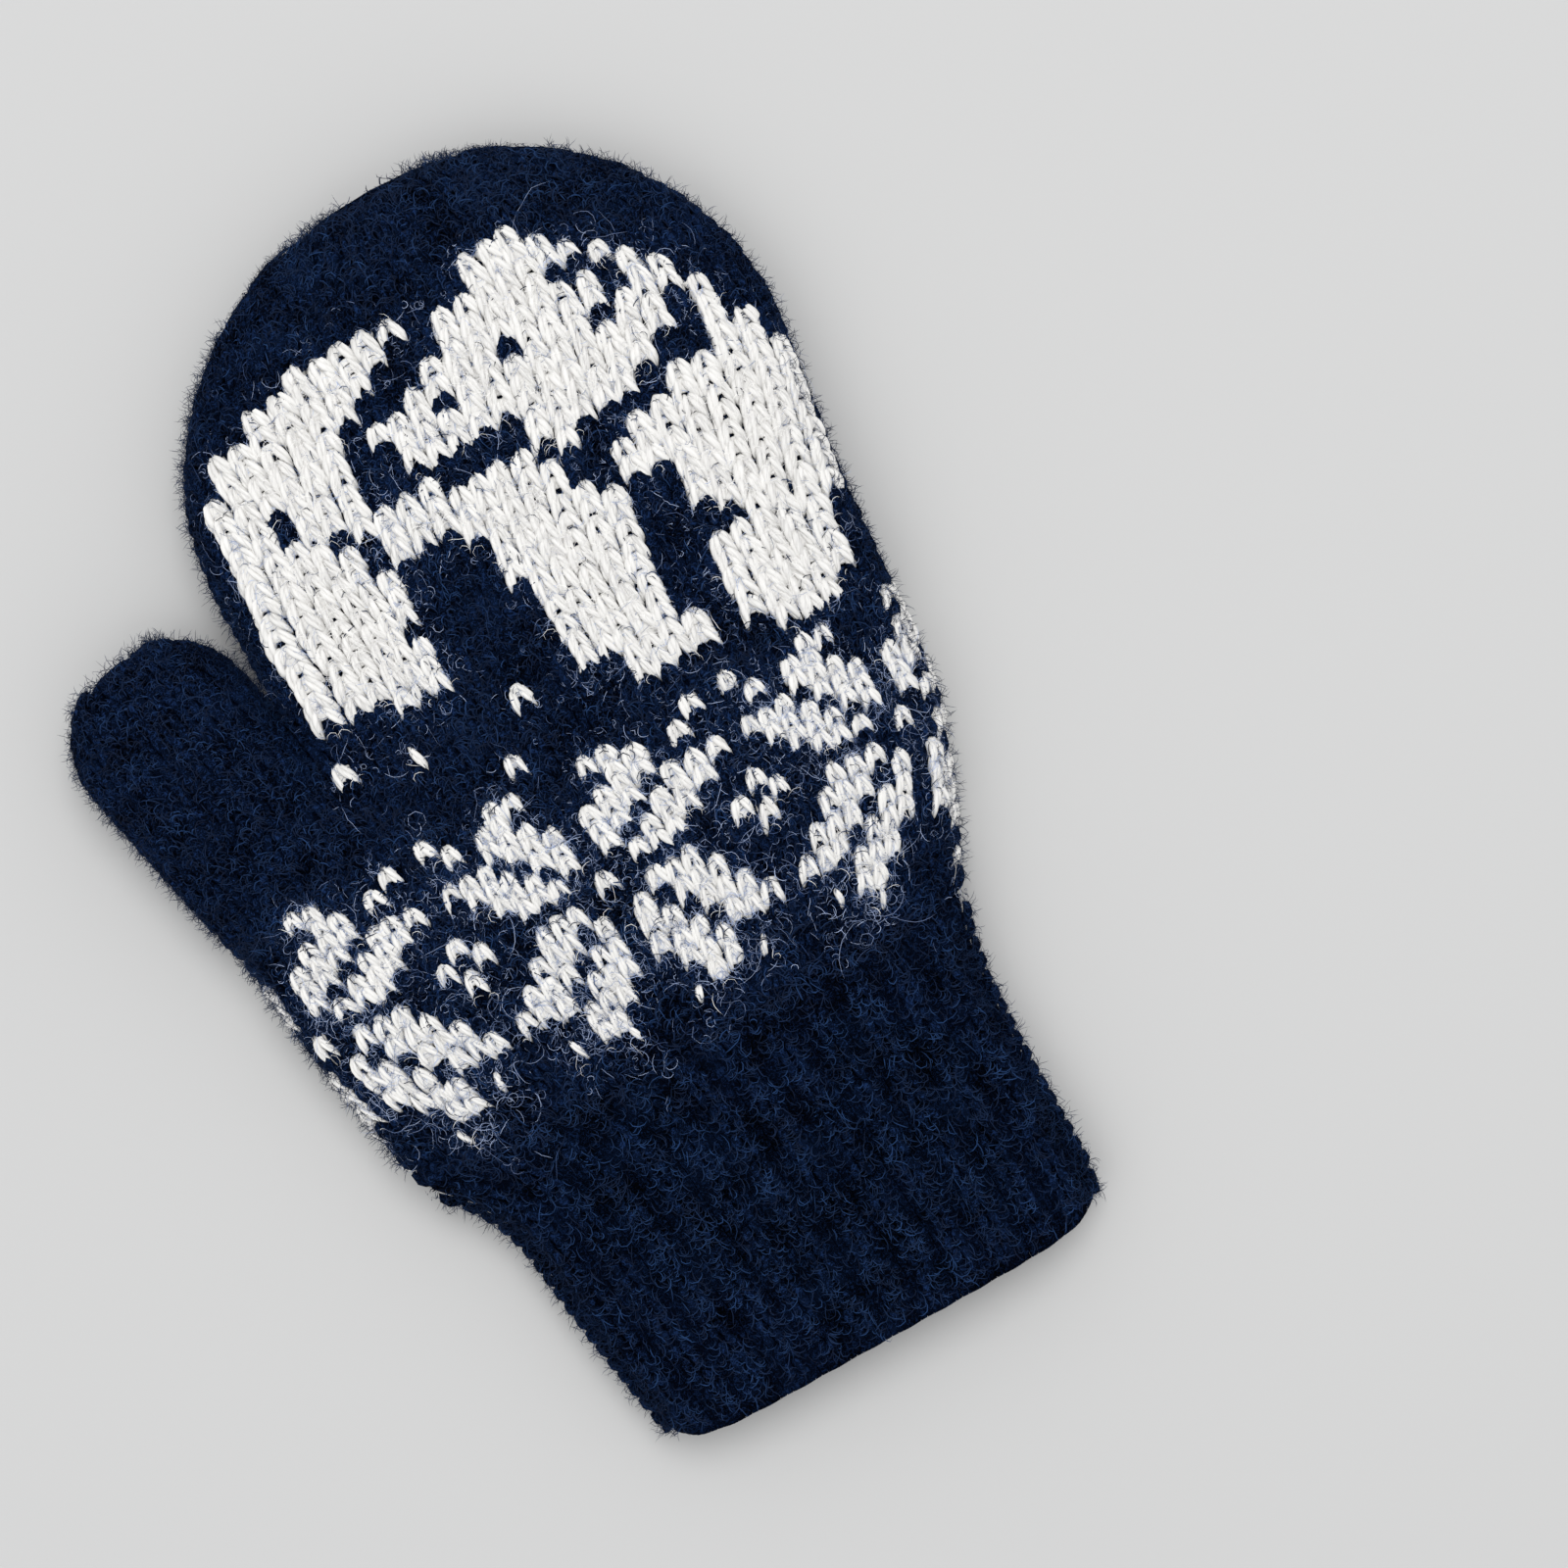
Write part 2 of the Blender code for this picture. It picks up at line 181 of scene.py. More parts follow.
# Thumb: the crotch, the lean of its axis, its half width and the height of its rows
CROTCH = (-43.1, 32.0)
THUMB_LEAN = math.radians(12.3)
THUMB_ACROSS = (math.cos(THUMB_LEAN), math.sin(THUMB_LEAN), 0)
THUMB_ALONG = (-math.sin(THUMB_LEAN), math.cos(THUMB_LEAN), 0)
THUMB_HALF = 18.5
THUMB_ROW = 3.5
THUMB_COLUMNS = (*range(-4, 5), *range(6, 15))
# Above this height the fingertips close and the columns draw together
CLOSING = 97.0

CUFF_TOP = -55.3
CUFF_END = -125.0
CUFF_RIBS = 26
CUFF_ROWS = 20
# Points in the running mean that smooths the ribs away, one more than are read to a rib
RIB_WINDOW = 25
# Below this height the cuff's corners turn up by the rise
MOUTH_CORNER = -120.6
MOUTH_RISE = 3.8
MOUTH_BEND = 10

# How finely the skins are read, in columns and in rows
FINE_COLUMN = 0.5
FINE_ROW = 0.3
# How finely an outline is read: steps over each quarter turn and along each flat side
TURN_STEPS = 12
FLAT_STEPS = 80
# An outline is round over its ends, at most over its width divided by this
ROUND_ENDS = 2.2
# Where the rays start, over the fabric and beside it, and how far they reach
RAY_OVER = 80
RAY_BESIDE = 150
RAY_OUT = 60
RAY_REACH = 400.0
# A ray is tried again this far before and behind, so that it doesn't fall into a seam
SEAM_STEPS = (0.0, 0.45, -0.45)


def dice(piece):
    return np.random.default_rng(SEEDS[piece])


def unit(vectors):
    """The vectors, each made one long."""
    return vectors / np.maximum(np.linalg.norm(vectors, axis=-1, keepdims=True), TINY)


def joined(parts):
    """Several tuples of arrays as one tuple of longer arrays."""
    return tuple(np.concatenate(arrays) for arrays in zip(*parts))


# Skin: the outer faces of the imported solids, read as rings of points

def solid_tree(name):
    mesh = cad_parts[name].data
    points = [v.co / MM for v in mesh.vertices]
    return BVHTree.FromPolygons(points, [tuple(face.vertices) for face in mesh.polygons])


def outermost(tree, start, direction, along):
    """The first hit of a ray and of its neighbours along the fabric."""
    best = None
    for shift in SEAM_STEPS:
        hit = tree.ray_cast(start + along * shift, direction, RAY_REACH)
        if hit[0] is not None and (best is None or hit[3] < best[1]):
            best = (hit[0] - along * shift, hit[3])
    return best and best[0]


def skin_ring(tree, centre, across, along, right_end=None):
    """The outline of a section, from its left end over the top to the right and back underneath.

    It gives the points, their distances along the outline and the number of the rightmost one.
    right_end ends it at that distance across instead, where the skin runs on.
    """
    up = Vector((0, 0, 1))
    crown = outermost(tree, centre + up * RAY_OVER, -up, along)
    if crown is None:
        raise RuntimeError("no skin above " + str(tuple(centre)))
    middle = crown.z / 2
    level = Vector((centre.x, centre.y, middle))
    left = (outermost(tree, level - across * RAY_BESIDE, across, along) - level).dot(across)
    if right_end is None:
        right = (outermost(tree, level + across * RAY_BESIDE, -across, along) - level).dot(across)
        reach = min(middle, (right - left) / ROUND_ENDS)
        low, high = left + reach, right - reach
    else:
        reach = middle
        low, high = left + reach, right_end
    quarter = math.pi / 2
    spine = [(low, math.pi - quarter * k / TURN_STEPS) for k in range(TURN_STEPS)]
    spine += [(low + (high - low) * k / FLAT_STEPS, quarter) for k in range(FLAT_STEPS + 1)]
    if right_end is None:
        spine += [(high, quarter - math.pi * k / (2 * TURN_STEPS)) for k in range(1, 2 * TURN_STEPS)]
    spine += [(high + (low - high) * k / FLAT_STEPS, -quarter) for k in range(FLAT_STEPS + 1)]
    spine += [(low, -quarter - quarter * k / TURN_STEPS) for k in range(1, TURN_STEPS + 1)]
    points = []
    for foot, angle in spine:
        start = level + across * foot
        outward = across * math.cos(angle) + up * math.sin(angle)
        hit = outermost(tree, start + outward * RAY_OUT, -outward, along)
        points.append(tuple(hit if hit is not None else start + outward * reach))
    ring = np.array(points)
    steps = np.linalg.norm(np.diff(ring, axis=0), axis=1)
    return ring, np.concatenate([[0.0], np.cumsum(steps)]), len(points) // 2


class Skin:
    """A grid of points over a surface, addressed by column and row."""

    def __init__(self, columns, rows, points, outward=1.0):
        self.columns, self.rows, self.points = columns, rows, points
        by_column = np.gradient(points, columns, axis=1)
        by_row = np.gradient(points, rows, axis=0)
        self.normals = unit(np.cross(by_column, by_row) * outward)
        self.pitch = np.linalg.norm(by_column, axis=2)

    def _lookup(self, grid, column, row):
        c = (column - self.columns[0]) / (self.columns[1] - self.columns[0])
        r = (row - self.rows[0]) / (self.rows[1] - self.rows[0])
        c0 = np.clip(np.floor(c), 0, len(self.columns) - 2).astype(int)
        r0 = np.clip(np.floor(r), 0, len(self.rows) - 2).astype(int)
        u, v = c - c0, r - r0
        if grid.ndim == 3:
            u, v = u[..., None], v[..., None]
        low = grid[r0, c0] * (1 - u) + grid[r0, c0 + 1] * u
        high = grid[r0 + 1, c0] * (1 - u) + grid[r0 + 1, c0 + 1] * u
        return low * (1 - v) + high * v

    def point(self, column, row):
        return self._lookup(self.points, column, row)

    def normal(self, column, row):
        return unit(self._lookup(self.normals, column, row))

    def width(self, column, row):
        return self._lookup(self.pitch, column, row)


def at_lengths(ring, arcs, lengths):
    return np.stack([np.interp(lengths, arcs, ring[:, k]) for k in range(3)], axis=1)


def ring_columns(ring, arcs, anchors, wanted):
    """Points of a ring at the wanted columns. anchors pairs columns with lengths along it."""
    return at_lengths(ring, arcs, np.interp(wanted, *zip(*anchors)))


def arc_at_x(ring, arcs, half, x):
    return float(np.interp(x, ring[: half + 1, 0], arcs[: half + 1]))


def arc_under_x(ring, arcs, half, x):
    return float(np.interp(-x, -ring[half:, 0], arcs[half:]))


def arcs_of_columns(section, y, table):
    """The length along a section of each column in a table of heights and charted x."""
    heights, *places = zip(*table)
    return [arc_at_x(*section, on_top(float(np.interp(y, heights, xs)))) for xs in places]


def level_ring(tree, x, y):
    """A section straight across the hand or the cuff."""
    return skin_ring(tree, Vector((x, y, 0)), Vector((1, 0, 0)), Vector((0, 1, 0)))


def seen(x, y, z):
    """Where a point of the surface shows on the charts, which are drawn as seen from above."""
    share = (EYE[2] - CHART_LEVEL) / (EYE[2] - z)
    return EYE[0] + (x - EYE[0]) * share, EYE[1] + (y - EYE[1]) * share


def on_top(x):
    """The x on the fabric of a charted x."""
    return EYE[0] + (x - EYE[0]) * (EYE[2] - TOP_LEVEL) / (EYE[2] - CHART_LEVEL)


def row_height(row):
    row = np.asarray(row, dtype=float)
    band = BAND_ROW + ROW_BAND * np.clip(row, 0, BAND_TOP_ROW)
    return band + ROW_BELOW * np.minimum(row, 0) + ROW_HAND * np.maximum(row - BAND_TOP_ROW, 0)


def lower_skin(tree):
    """The hand from the cuff to the foot of the thumb."""
    rows = np.arange(FIRST_ROW, BAND_TOP_ROW + 2.01, FINE_ROW)
    columns = np.arange(LOWER_FIRST - 1, LOWER_FIRST + LOWER_COUNT + 1.01, FINE_COLUMN)
    grid = []
    for row in rows:
        y = float(row_height(row))
        ring, arcs, half = section = level_ring(tree, -4, y)
        at = arcs_of_columns(section, y, LOWER_COLUMNS)
        left_edge = LOWER_AT[0] - at[0] / EDGE_PITCH
        right_edge = LOWER_AT[-1] + (arcs[half] - at[-1]) / EDGE_PITCH
        known = [(left_edge, 0.0), *zip(LOWER_AT, at)]
        known += [(right_edge, arcs[half]), (left_edge + LOWER_COUNT, arcs[-1])]
        before = [(c - LOWER_COUNT, s - arcs[-1]) for c, s in known[-2:-1]]
        after = [(c + LOWER_COUNT, s + arcs[-1]) for c, s in known[1:4]]
        loop = np.concatenate([ring[:-1], ring[:-1], ring[:-1], ring[:1]])
        length = np.concatenate([arcs[:-1] - arcs[-1], arcs[:-1], arcs[:-1] + arcs[-1], [2 * arcs[-1]]])
        grid.append(ring_columns(loop, length, before + known + after, columns))
    return Skin(columns, rows, np.array(grid))


def thumb_line(y):
    """Where the hand's own stitches give way to the thumb's, at that height."""
    return CROTCH[0] + math.tan(THUMB_LEAN) * (CROTCH[1] - y) if y < CROTCH[1] else -math.inf


def upper_skin(tree):
    """The hand from the foot of the thumb to the fingertips."""
    rows = np.arange(BAND_TOP_ROW - 1.0, LAST_ROW + 0.01, FINE_ROW)
    columns = np.arange(UPPER_FIRST - 1, UPPER_FIRST + UPPER_COUNT + 0.01, FINE_COLUMN)
    shares = None
    grid = []
    for row in rows:
        y = float(row_height(row))
        ring, arcs, half = section = level_ring(tree, 18, y)
        left, right, end = 0.0, arcs[half], arcs[-1]
        line = thumb_line(y)
        if ring[0, 0] < line - 1.0:
            left = arc_at_x(*section, line)
            end = arc_under_x(*section, line)
        at = arcs_of_columns(section, y, UPPER_COLUMNS)
        if y > CLOSING:
            if shares is None:
                shares = [(s - left) / (right - left) for s in at]
            at = [left + (right - left) * share for share in shares]
        known = [(UPPER_EDGES[0], left), *zip(UPPER_AT, at)]
        known += [(UPPER_EDGES[1], right), (UPPER_EDGES[0] + UPPER_COUNT, end)]
        grid.append(ring_columns(ring, arcs, known, columns))
    return Skin(columns, rows, np.array(grid))


def thumb_skin(hand, thumb):
    """The thumb, from inside the hand's side to its round end.

    Columns -4 to 4 lie on top and 6 to 14 underneath.
    """
    across, along = Vector(THUMB_ACROSS), Vector(THUMB_ALONG)
    root = Vector((*CROTCH, 0)) - across * THUMB_HALF
    over, down = Vector((0, 0, RAY_OVER)), Vector((0, 0, -1))
    reach = 20.0
    while thumb.ray_cast(root + along * (reach + 0.6) + over, down)[0] is not None:
        reach += 0.3
    rows = np.arange(-24.0, reach, 1.0) / THUMB_ROW
    columns = np.arange(-4.5, 14.51, FINE_COLUMN)
    grid = []
    for row in rows:
        s = row * THUMB_ROW
        if s < 0.0:
            ring, arcs, half = skin_ring(hand, root + along * s, across, along, THUMB_HALF)
            top, under = arcs[half - 1], arcs[half]
        else:
            ring, arcs, half = skin_ring(thumb, root + along * max(s, 0.8), across, along)
            top = under = arcs[half]
        known = [(-4.5, 0.0), (4.5, top), (5.5, under), (14.5, arcs[-1])]
        grid.append(ring_columns(ring, arcs, known, columns))
    return Skin(columns, rows, np.array(grid))


def crest_shift(ring, arcs):
    """How far the crests of the ribs stand from whole numbers of ribs round a section."""
    window = RIB_WINDOW
    even = np.linspace(0, arcs[-1], CUFF_RIBS * (window - 1), endpoint=False)
    line = at_lengths(ring, arcs, even)
    wrapped = np.concatenate([line[-(window // 2):], line, line[:window // 2]])
    smooth = np.stack([np.convolve(part, np.ones(window) / window, "valid") for part in wrapped.T], axis=1)
    centre = smooth.mean(axis=0)
    height = np.linalg.norm(line - centre, axis=1) - np.linalg.norm(smooth - centre, axis=1)
    wave = np.exp(-2j * math.pi * CUFF_RIBS * even / arcs[-1])
    return -np.angle(np.sum(height * wave)) / (2 * math.pi)


def cuff_skin(tree):
    """The cuff. Columns are ribs, with a crest at each whole number."""
    rows = np.arange(0.0, CUFF_ROWS + 0.01, 0.25)
    columns = np.arange(-1.0, CUFF_RIBS + 1.01, 0.0625)
    rings = []
    for row in rows:
        y = CUFF_TOP - 0.2 + (CUFF_END - CUFF_TOP + 0.9) * row / rows[-1]
        if y > MOUTH_CORNER:
            rings.append(level_ring(tree, -4, y)[:2])
            continue
        ring, arcs = rings[-1]
        ring = ring.copy()
        left, right = ring[:, 0].min(), ring[:, 0].max()
        share = np.abs(2 * ring[:, 0] - left - right) / (right - left)
        ring[:, 1] = np.minimum(y + MOUTH_RISE * share ** MOUTH_BEND, ring[:, 1] - 0.02)
        rings.append((ring, arcs))
    ribs = columns + crest_shift(*rings[len(rings) // 2])
    grid = [at_lengths(ring, arcs, ribs / CUFF_RIBS * arcs[-1] % arcs[-1]) for ring, arcs in rings]
    return Skin(columns, rows, np.array(grid), outward=-1.0)


# Yarn: closed tapered strands, built all at once

def strand_mesh(name, paths, normals, widths, heights, sides, tint):
    """One mesh of many strands. paths is (strand, point, 3); each strand closes to a point at both ends."""
    count, rings = paths.shape[0], paths.shape[1] - 2
    tangent = unit(paths[:, 2:] - paths[:, :-2])
    aside = unit(np.cross(tangent, normals))
    lift = np.cross(aside, tangent)
    angle = 2 * math.pi * np.arange(sides) / sides
    body = paths[:, 1:-1, None] + aside[:, :, None] * widths[:, :, None, None] * np.cos(angle)[:, None]
    body = body + lift[:, :, None] * heights[:, :, None, None] * np.sin(angle)[:, None]
    per = rings * sides + 2
    points = np.empty((count, per, 3))
    points[:, 0], points[:, -1] = paths[:, 0], paths[:, -1]
    points[:, 1:-1] = body.reshape(count, rings * sides, 3)

    # Faces and yarn coordinates of one strand: two fans of triangles, and quads between the rings
    k = np.arange(sides)
    after = (k + 1) % sides
    last_ring = 1 + (rings - 1) * sides
    first = np.stack([np.zeros(sides, int), 1 + after, 1 + k], axis=1)
    last = np.stack([np.full(sides, per - 1), last_ring + k, last_ring + after], axis=1)
    starts = 1 + sides * np.arange(rings)
    quads = [np.stack([low + k, low + after, high + after, high + k], axis=1)
             for low, high in zip(starts[:-1], starts[1:])]
    along = np.arange(rings + 2) / (rings + 1)
    uv = [np.stack([np.stack(turn, axis=1) / sides, np.broadcast_to(reach, (sides, len(turn)))], axis=2)
          for turn, reach in (
              ((k + 0.5, k + 1, k), along[[0, 1, 1]]),
              ((k + 0.5, k, k + 1), along[[-1, -2, -2]]),
              *(((k, k + 1, k + 1, k), along[[ring, ring, ring + 1, ring + 1]]) for ring in range(1, rings)))]
    uv = [np.tile(np.concatenate(faces), (count, 1, 1)).reshape(-1, 2) for faces in (uv[:2], uv[2:])]
    base = (np.arange(count) * per)[:, None, None]
    triangles, quads = (np.concatenate(faces)[None] + base for faces in ((first, last), quads))
    return mesh_object(name, points.reshape(-1, 3), triangles.reshape(-1, 3), quads.reshape(-1, 4),
                       np.concatenate(uv), np.repeat(tint, per))


def ribbon_mesh(name, paths, normals, widths, tint):
    """One mesh of many flat hairs, each closing to a point at both ends."""
    count, rings = paths.shape[0], paths.shape[1] - 2
    aside = unit(np.cross(paths[:, 2:] - paths[:, :-2], normals))
    per = 2 * rings + 2
    points = np.empty((count, per, 3))
    points[:, 0], points[:, -1] = paths[:, 0], paths[:, -1]
    points[:, 1:-1:2] = paths[:, 1:-1] - aside * widths[..., None]
    points[:, 2:-1:2] = paths[:, 1:-1] + aside * widths[..., None]
    base = (np.arange(count) * per)[:, None, None]
    triangles = (np.array([[0, 2, 1], [per - 3, per - 2, per - 1]])[None] + base).reshape(-1, 3)
    quads = np.array([[2 * k + 1, 2 * k + 2, 2 * k + 4, 2 * k + 3] for k in range(rings - 1)])
    quads = (quads[None] + base).reshape(-1, 4)
    return mesh_object(name, points.reshape(-1, 3), triangles, quads, tints=np.repeat(tint, per))


def mesh_object(name, points, triangles, quads, uv=None, tints=None):
    """A smooth mesh object from arrays in millimetres."""
    points = points.copy()
    points[:, 2] = np.maximum(points[:, 2], FLOOR_CLEAR)
    mesh = bpy.data.meshes.new(name)
    loops = np.concatenate([triangles.reshape(-1), quads.reshape(-1)]).astype(np.int32)
    sizes = np.concatenate([np.full(len(triangles), 3), np.full(len(quads), 4)])
    starts = np.concatenate([[0], np.cumsum(sizes)[:-1]]).astype(np.int32)
    mesh.vertices.add(len(points))
    mesh.vertices.foreach_set("co", (points * MM).astype(np.float32).ravel())
    mesh.loops.add(len(loops))
    mesh.loops.foreach_set("vertex_index", loops)
    mesh.polygons.add(len(sizes))
    mesh.polygons.foreach_set("loop_start", starts)
    mesh.polygons.foreach_set("use_smooth", np.ones(len(sizes), dtype=bool))
    mesh.update(calc_edges=True)
    if uv is not None:
        layer = mesh.uv_layers.new(name="yarn")
        layer.uv.foreach_set("vector", uv.astype(np.float32).ravel())
    if tints is not None:
        attribute = mesh.attributes.new("tint", "FLOAT", "POINT")
        attribute.data.foreach_set("value", tints.astype(np.float32))
    if mesh.validate():
        raise RuntimeError(name + " had faces that were not valid")
    piece = bpy.data.objects.new(name, mesh)
    bpy.context.scene.collection.objects.link(piece)
    return piece


# Stitches: each is two legs that meet at the top and part downwards

LEG_ALONG = {
    "white": (0.0, 0.06, 0.2, 0.36, 0.52, 0.68, 0.85, 1.0),
    "navy": (0.0, 0.16, 0.45, 0.76, 1.0),
}
# Share of the leg's length, then share of its full width
LEG_WIDTH = (
    (0.0, 0.0), (0.05, 0.5), (0.16, 0.82), (0.3, 0.98), (0.45, 1.0), (0.6, 0.92), (0.75, 0.72),
    (0.89, 0.42), (1.0, 0.0),
)
# Share of the leg's length, then height over the fabric in millimetres
LEG_RISE = ((0.0, 0.05), (0.12, 0.62), (0.28, 0.9), (0.46, 0.8), (0.66, 0.35), (0.84, -0.15), (1.0, -0.7))
# In rows: where a leg starts over its row and how far it falls
LEG_TOP = 0.96
LEG_FALL = 1.9
# In columns: how far a leg leans at its top and how much more at its foot
LEG_LEAN = (0.085, 0.34)
LEG_FULL = 0.222
LEG_SIDES = {"white": 5, "navy": 6}
# Row, then share of a leg's length: the rows are taller below row 0, and felted over at the foot
FALL_BY_ROW = ((-6.6, 0.5), (-5.5, 0.74), (-0.5, 0.84), (0.5, 1.0))
# Columns narrower or wider than these keep the yarn's own thickness
PITCH_RANGE = (2.0, 5.6)
# Chance differences of a leg's lean, place, rise, width, height and fall
LEG_CHANCE = (0.03, 0.07, 0.1, 0.07, 0.07, 0.06)
# How far a leg bows out, and its height as a share of its width and at most
LEG_BOW = 0.05
LEG_HEIGHT = (0.95, 1.05)
# A leg of the rib: its lean at the top and further down, its top, its fall and its height
RIB_LEAN = (0.06, 0.13)
RIB_TOP = 0.62
RIB_FALL = 1.36
RIB_HEIGHT = 0.9
# Chance differences of its lean, place, rise and width; its height has none
RIB_CHANCE = (0.012, 0.06, 0.12, 0.08, 0.0)
# The strand behind a white stitch: shares of its length and of its full width
BACKING_SHAPE = ((0.0, 0.0), (0.1, 0.8), (0.5, 1.0), (0.9, 0.8), (1.0, 0.0))
# Its top and its length in rows, with the chance difference of the length
BACKING_TOP = 0.95
BACKING_LENGTH = (0.98, 0.3)
# Its width as a share of its column, and its height over the fabric and thickness in millimetres
BACKING_WIDTH = 0.48
BACKING_RISE = 0.32
BACKING_THICK = 0.6
# Chance differences of its place and rise
BACKING_CHANCE = (0.02, 0.08)
# How far each kind of stitch is raised over the fabric, and how far the fabric lies inside the solids
NAVY_LIFT = -0.1
THUMB_LIFT = -0.15
WHITE_LIFT = 0.1
FABRIC_INSET = 0.35


def read_off(t, table):
    """The values at t of a table of steps, as one row."""
    return np.interp(t, *zip(*table))[None]


def strayed(column, row):
    """Columns and rows as hand knitting has them, a little off their straight lines."""
    aside = 0.09 * np.sin(0.93 * column + 0.31 * row) + 0.07 * np.sin(0.41 * column - 0.57 * row + 1.0)
    along = 0.10 * np.sin(1.71 * column + 0.4) + 0.09 * np.sin(0.53 * column + 0.23 * row + 2.0)
    return column + aside, row + along


def wobbles(rng, count, sizes):
    """Small chance differences of each strand, one column of numbers for each size."""
    return (rng.normal(0, 1, (count, len(sizes))) * sizes).T[:, :, None]


def yarn_pitch(skin, columns, rows):
    return np.clip(skin.width(columns, rows), *PITCH_RANGE)[:, None]


def strands(skin, column, row, rise, widths, heights):
    """Paths over a skin, then the normal, width and height of each point between their ends."""
    normals = skin.normal(column, row)
    paths = skin.point(column, row) + normals * rise[..., None]
    return paths, normals[:, 1:-1], widths[:, 1:-1], heights[:, 1:-1]


def stitch_legs(skin, columns, rows, side, kind, rng, plump=1.0, lift=0.0):
    """One leg of each stitch, on its left or its right as side is -1 or 1."""
    t = np.array(LEG_ALONG[kind])
    lean, shift, raised, wide, high, fallen = wobbles(rng, len(columns), LEG_CHANCE)
    aside = LEG_LEAN[0] + LEG_LEAN[1] * t[None] + LEG_BOW * np.sin(math.pi * t)[None] + lean
    fall = LEG_FALL * read_off(rows, FALL_BY_ROW).T * (1 + fallen)
    down = rows[:, None] + LEG_TOP - fall * t[None] + shift
    column, row = strayed(columns[:, None] + side * aside, down)
    rise = read_off(t, LEG_RISE) * (1 + raised) + lift
    full = read_off(t, LEG_WIDTH) * yarn_pitch(skin, columns, rows) * LEG_FULL * plump
    heights = np.minimum(full * LEG_HEIGHT[0], LEG_HEIGHT[1]) * (1 + high)
    return strands(skin, column, row, rise, full * (1 + wide), heights)


def rib_legs(skin, columns, rows, side, rng):
    """One leg of each knit stitch on the crest of a rib; rows here count down to the wrist."""
    t = np.array(LEG_ALONG["navy"])
    lean, shift, raised, wide, _ = wobbles(rng, len(columns), RIB_CHANCE)
    column = columns[:, None] + side * (RIB_LEAN[0] + RIB_LEAN[1] * t[None]) + lean
    row = rows[:, None] - RIB_TOP + RIB_FALL * t[None] + shift
    full = read_off(t, LEG_WIDTH) * (1 + wide)
    return strands(skin, column, row, read_off(t, LEG_RISE) * (1 + raised), full, full * RIB_HEIGHT)


def backing(skin, columns, rows, rng):
    """A short full strand behind the two legs of a white stitch, so that no navy shows between them."""
    t, full = np.array(BACKING_SHAPE).T
    lean, raised = wobbles(rng, len(columns), BACKING_CHANCE)
    column = np.repeat(columns[:, None], len(t), axis=1) + lean
    length = BACKING_LENGTH[0] + BACKING_LENGTH[1] * rng.uniform(-1, 1, (len(columns), 1))
    column, row = strayed(column, rows[:, None] + BACKING_TOP - length * t[None])
    widths = full[None] * yarn_pitch(skin, columns, rows) * BACKING_WIDTH
    heights = np.minimum(widths, BACKING_THICK)
    return strands(skin, column, row, BACKING_RISE + raised, widths, heights)


PLIES = 3
PLY_WIDTH = 0.6
PLY_APART = 0.5
# Turns of the plies along a leg, with their chance difference, and the range of a ply's size
PLY_TURNS = (0.5, 0.12)
PLY_SIZES = (0.85, 1.15)


def wind_plies(paths, normals, widths, heights, rng):
    """The plies of each strand, wound loosely round each other."""
    facing = np.concatenate([normals[:, :1], normals, normals[:, -1:]], axis=1)
    tangent = np.gradient(paths, axis=1)
    aside = unit(np.cross(tangent, facing))
    lift = unit(np.cross(aside, tangent))
    wide, high = (np.pad(size, ((0, 0), (1, 1))) for size in (widths, heights))
    t = np.linspace(0, 1, paths.shape[1])[None]
    phase = rng.uniform(0, 1, (len(paths), 1))
    turns = rng.normal(*PLY_TURNS, (len(paths), 1))
    parts = []
    for ply in range(PLIES):
        angle = 2 * math.pi * (ply / PLIES + phase + turns * t)
        offset = aside * (np.cos(angle) * wide)[..., None] + lift * (np.sin(angle) * high)[..., None]
        size = PLY_WIDTH * rng.uniform(*PLY_SIZES, (len(paths), 1))
        parts.append((paths + PLY_APART * offset, normals, widths * size, heights * size))
    return joined(parts)


def knit_piece(name, parts, sides, rng):
    """A piece from several batches of strands."""
    paths, normals, widths, heights = joined(parts)
    tint = np.clip(rng.normal(0.5, 0.18, len(paths)), 0, 1)
    return strand_mesh(name, paths, normals, widths, heights, sides, tint)


def inside(outline, x, y):
    """Whether a point lies inside an outline: a line from it crosses an odd number of sides."""
    sides = zip(outline, outline[1:] + outline[:1])
    return sum((y0 > y) != (y1 > y) and x < x0 + (x1 - x0) * (y - y0) / (y1 - y0)
               for (x0, y0), (x1, y1) in sides) % 2 == 1


def in_bear(x, y):
    """A stitch is white where both its top and its foot are within one outline and its middle in no gap."""
    low, high = y + GAP_RISE - GAP_MARGIN, y + GAP_RISE + GAP_MARGIN
    return any(
        inside(outline, x, y + STITCH_MARGIN) and inside(outline, x, y - STITCH_MARGIN) for outline in BEAR
    ) and not any(x0 < x < x1 and y0 < high and low < y1 for x0, y0, x1, y1 in BEAR_GAPS)


def star_legs(column, row):
    """Which legs of a stitch show white: the felted foot of the band swallows some of a star's."""
    folded = (column + STAR_REPEAT // 2) % STAR_REPEAT - STAR_REPEAT // 2
    if abs(folded) not in STAR.get(abs(row), ()):
        return None
    if row == -7:
        return {2: "left", -3: "right"}.get(folded)
    if row <= -5 and abs(folded) >= 5:
        return "left" if folded > 0 else "right"
    return "both"


def thumb_place(x, y):
    """Position across and along the thumb of points on the floor plan."""
    dx, dy = x - CROTCH[0], y - CROTCH[1]
    return tuple(dx * way[0] + dy * way[1] for way in (THUMB_ACROSS, THUMB_ALONG))


# A column narrower than the first of these takes only every other stitch, than the second none
NARROW = (2.1, 1.2)
# The hand has no stitches of its own where the thumb grows out: this far past its edge, and from
# the crotch down to this depth
THUMB_SIDE = 0.4
THUMB_MOUTH = 23.0
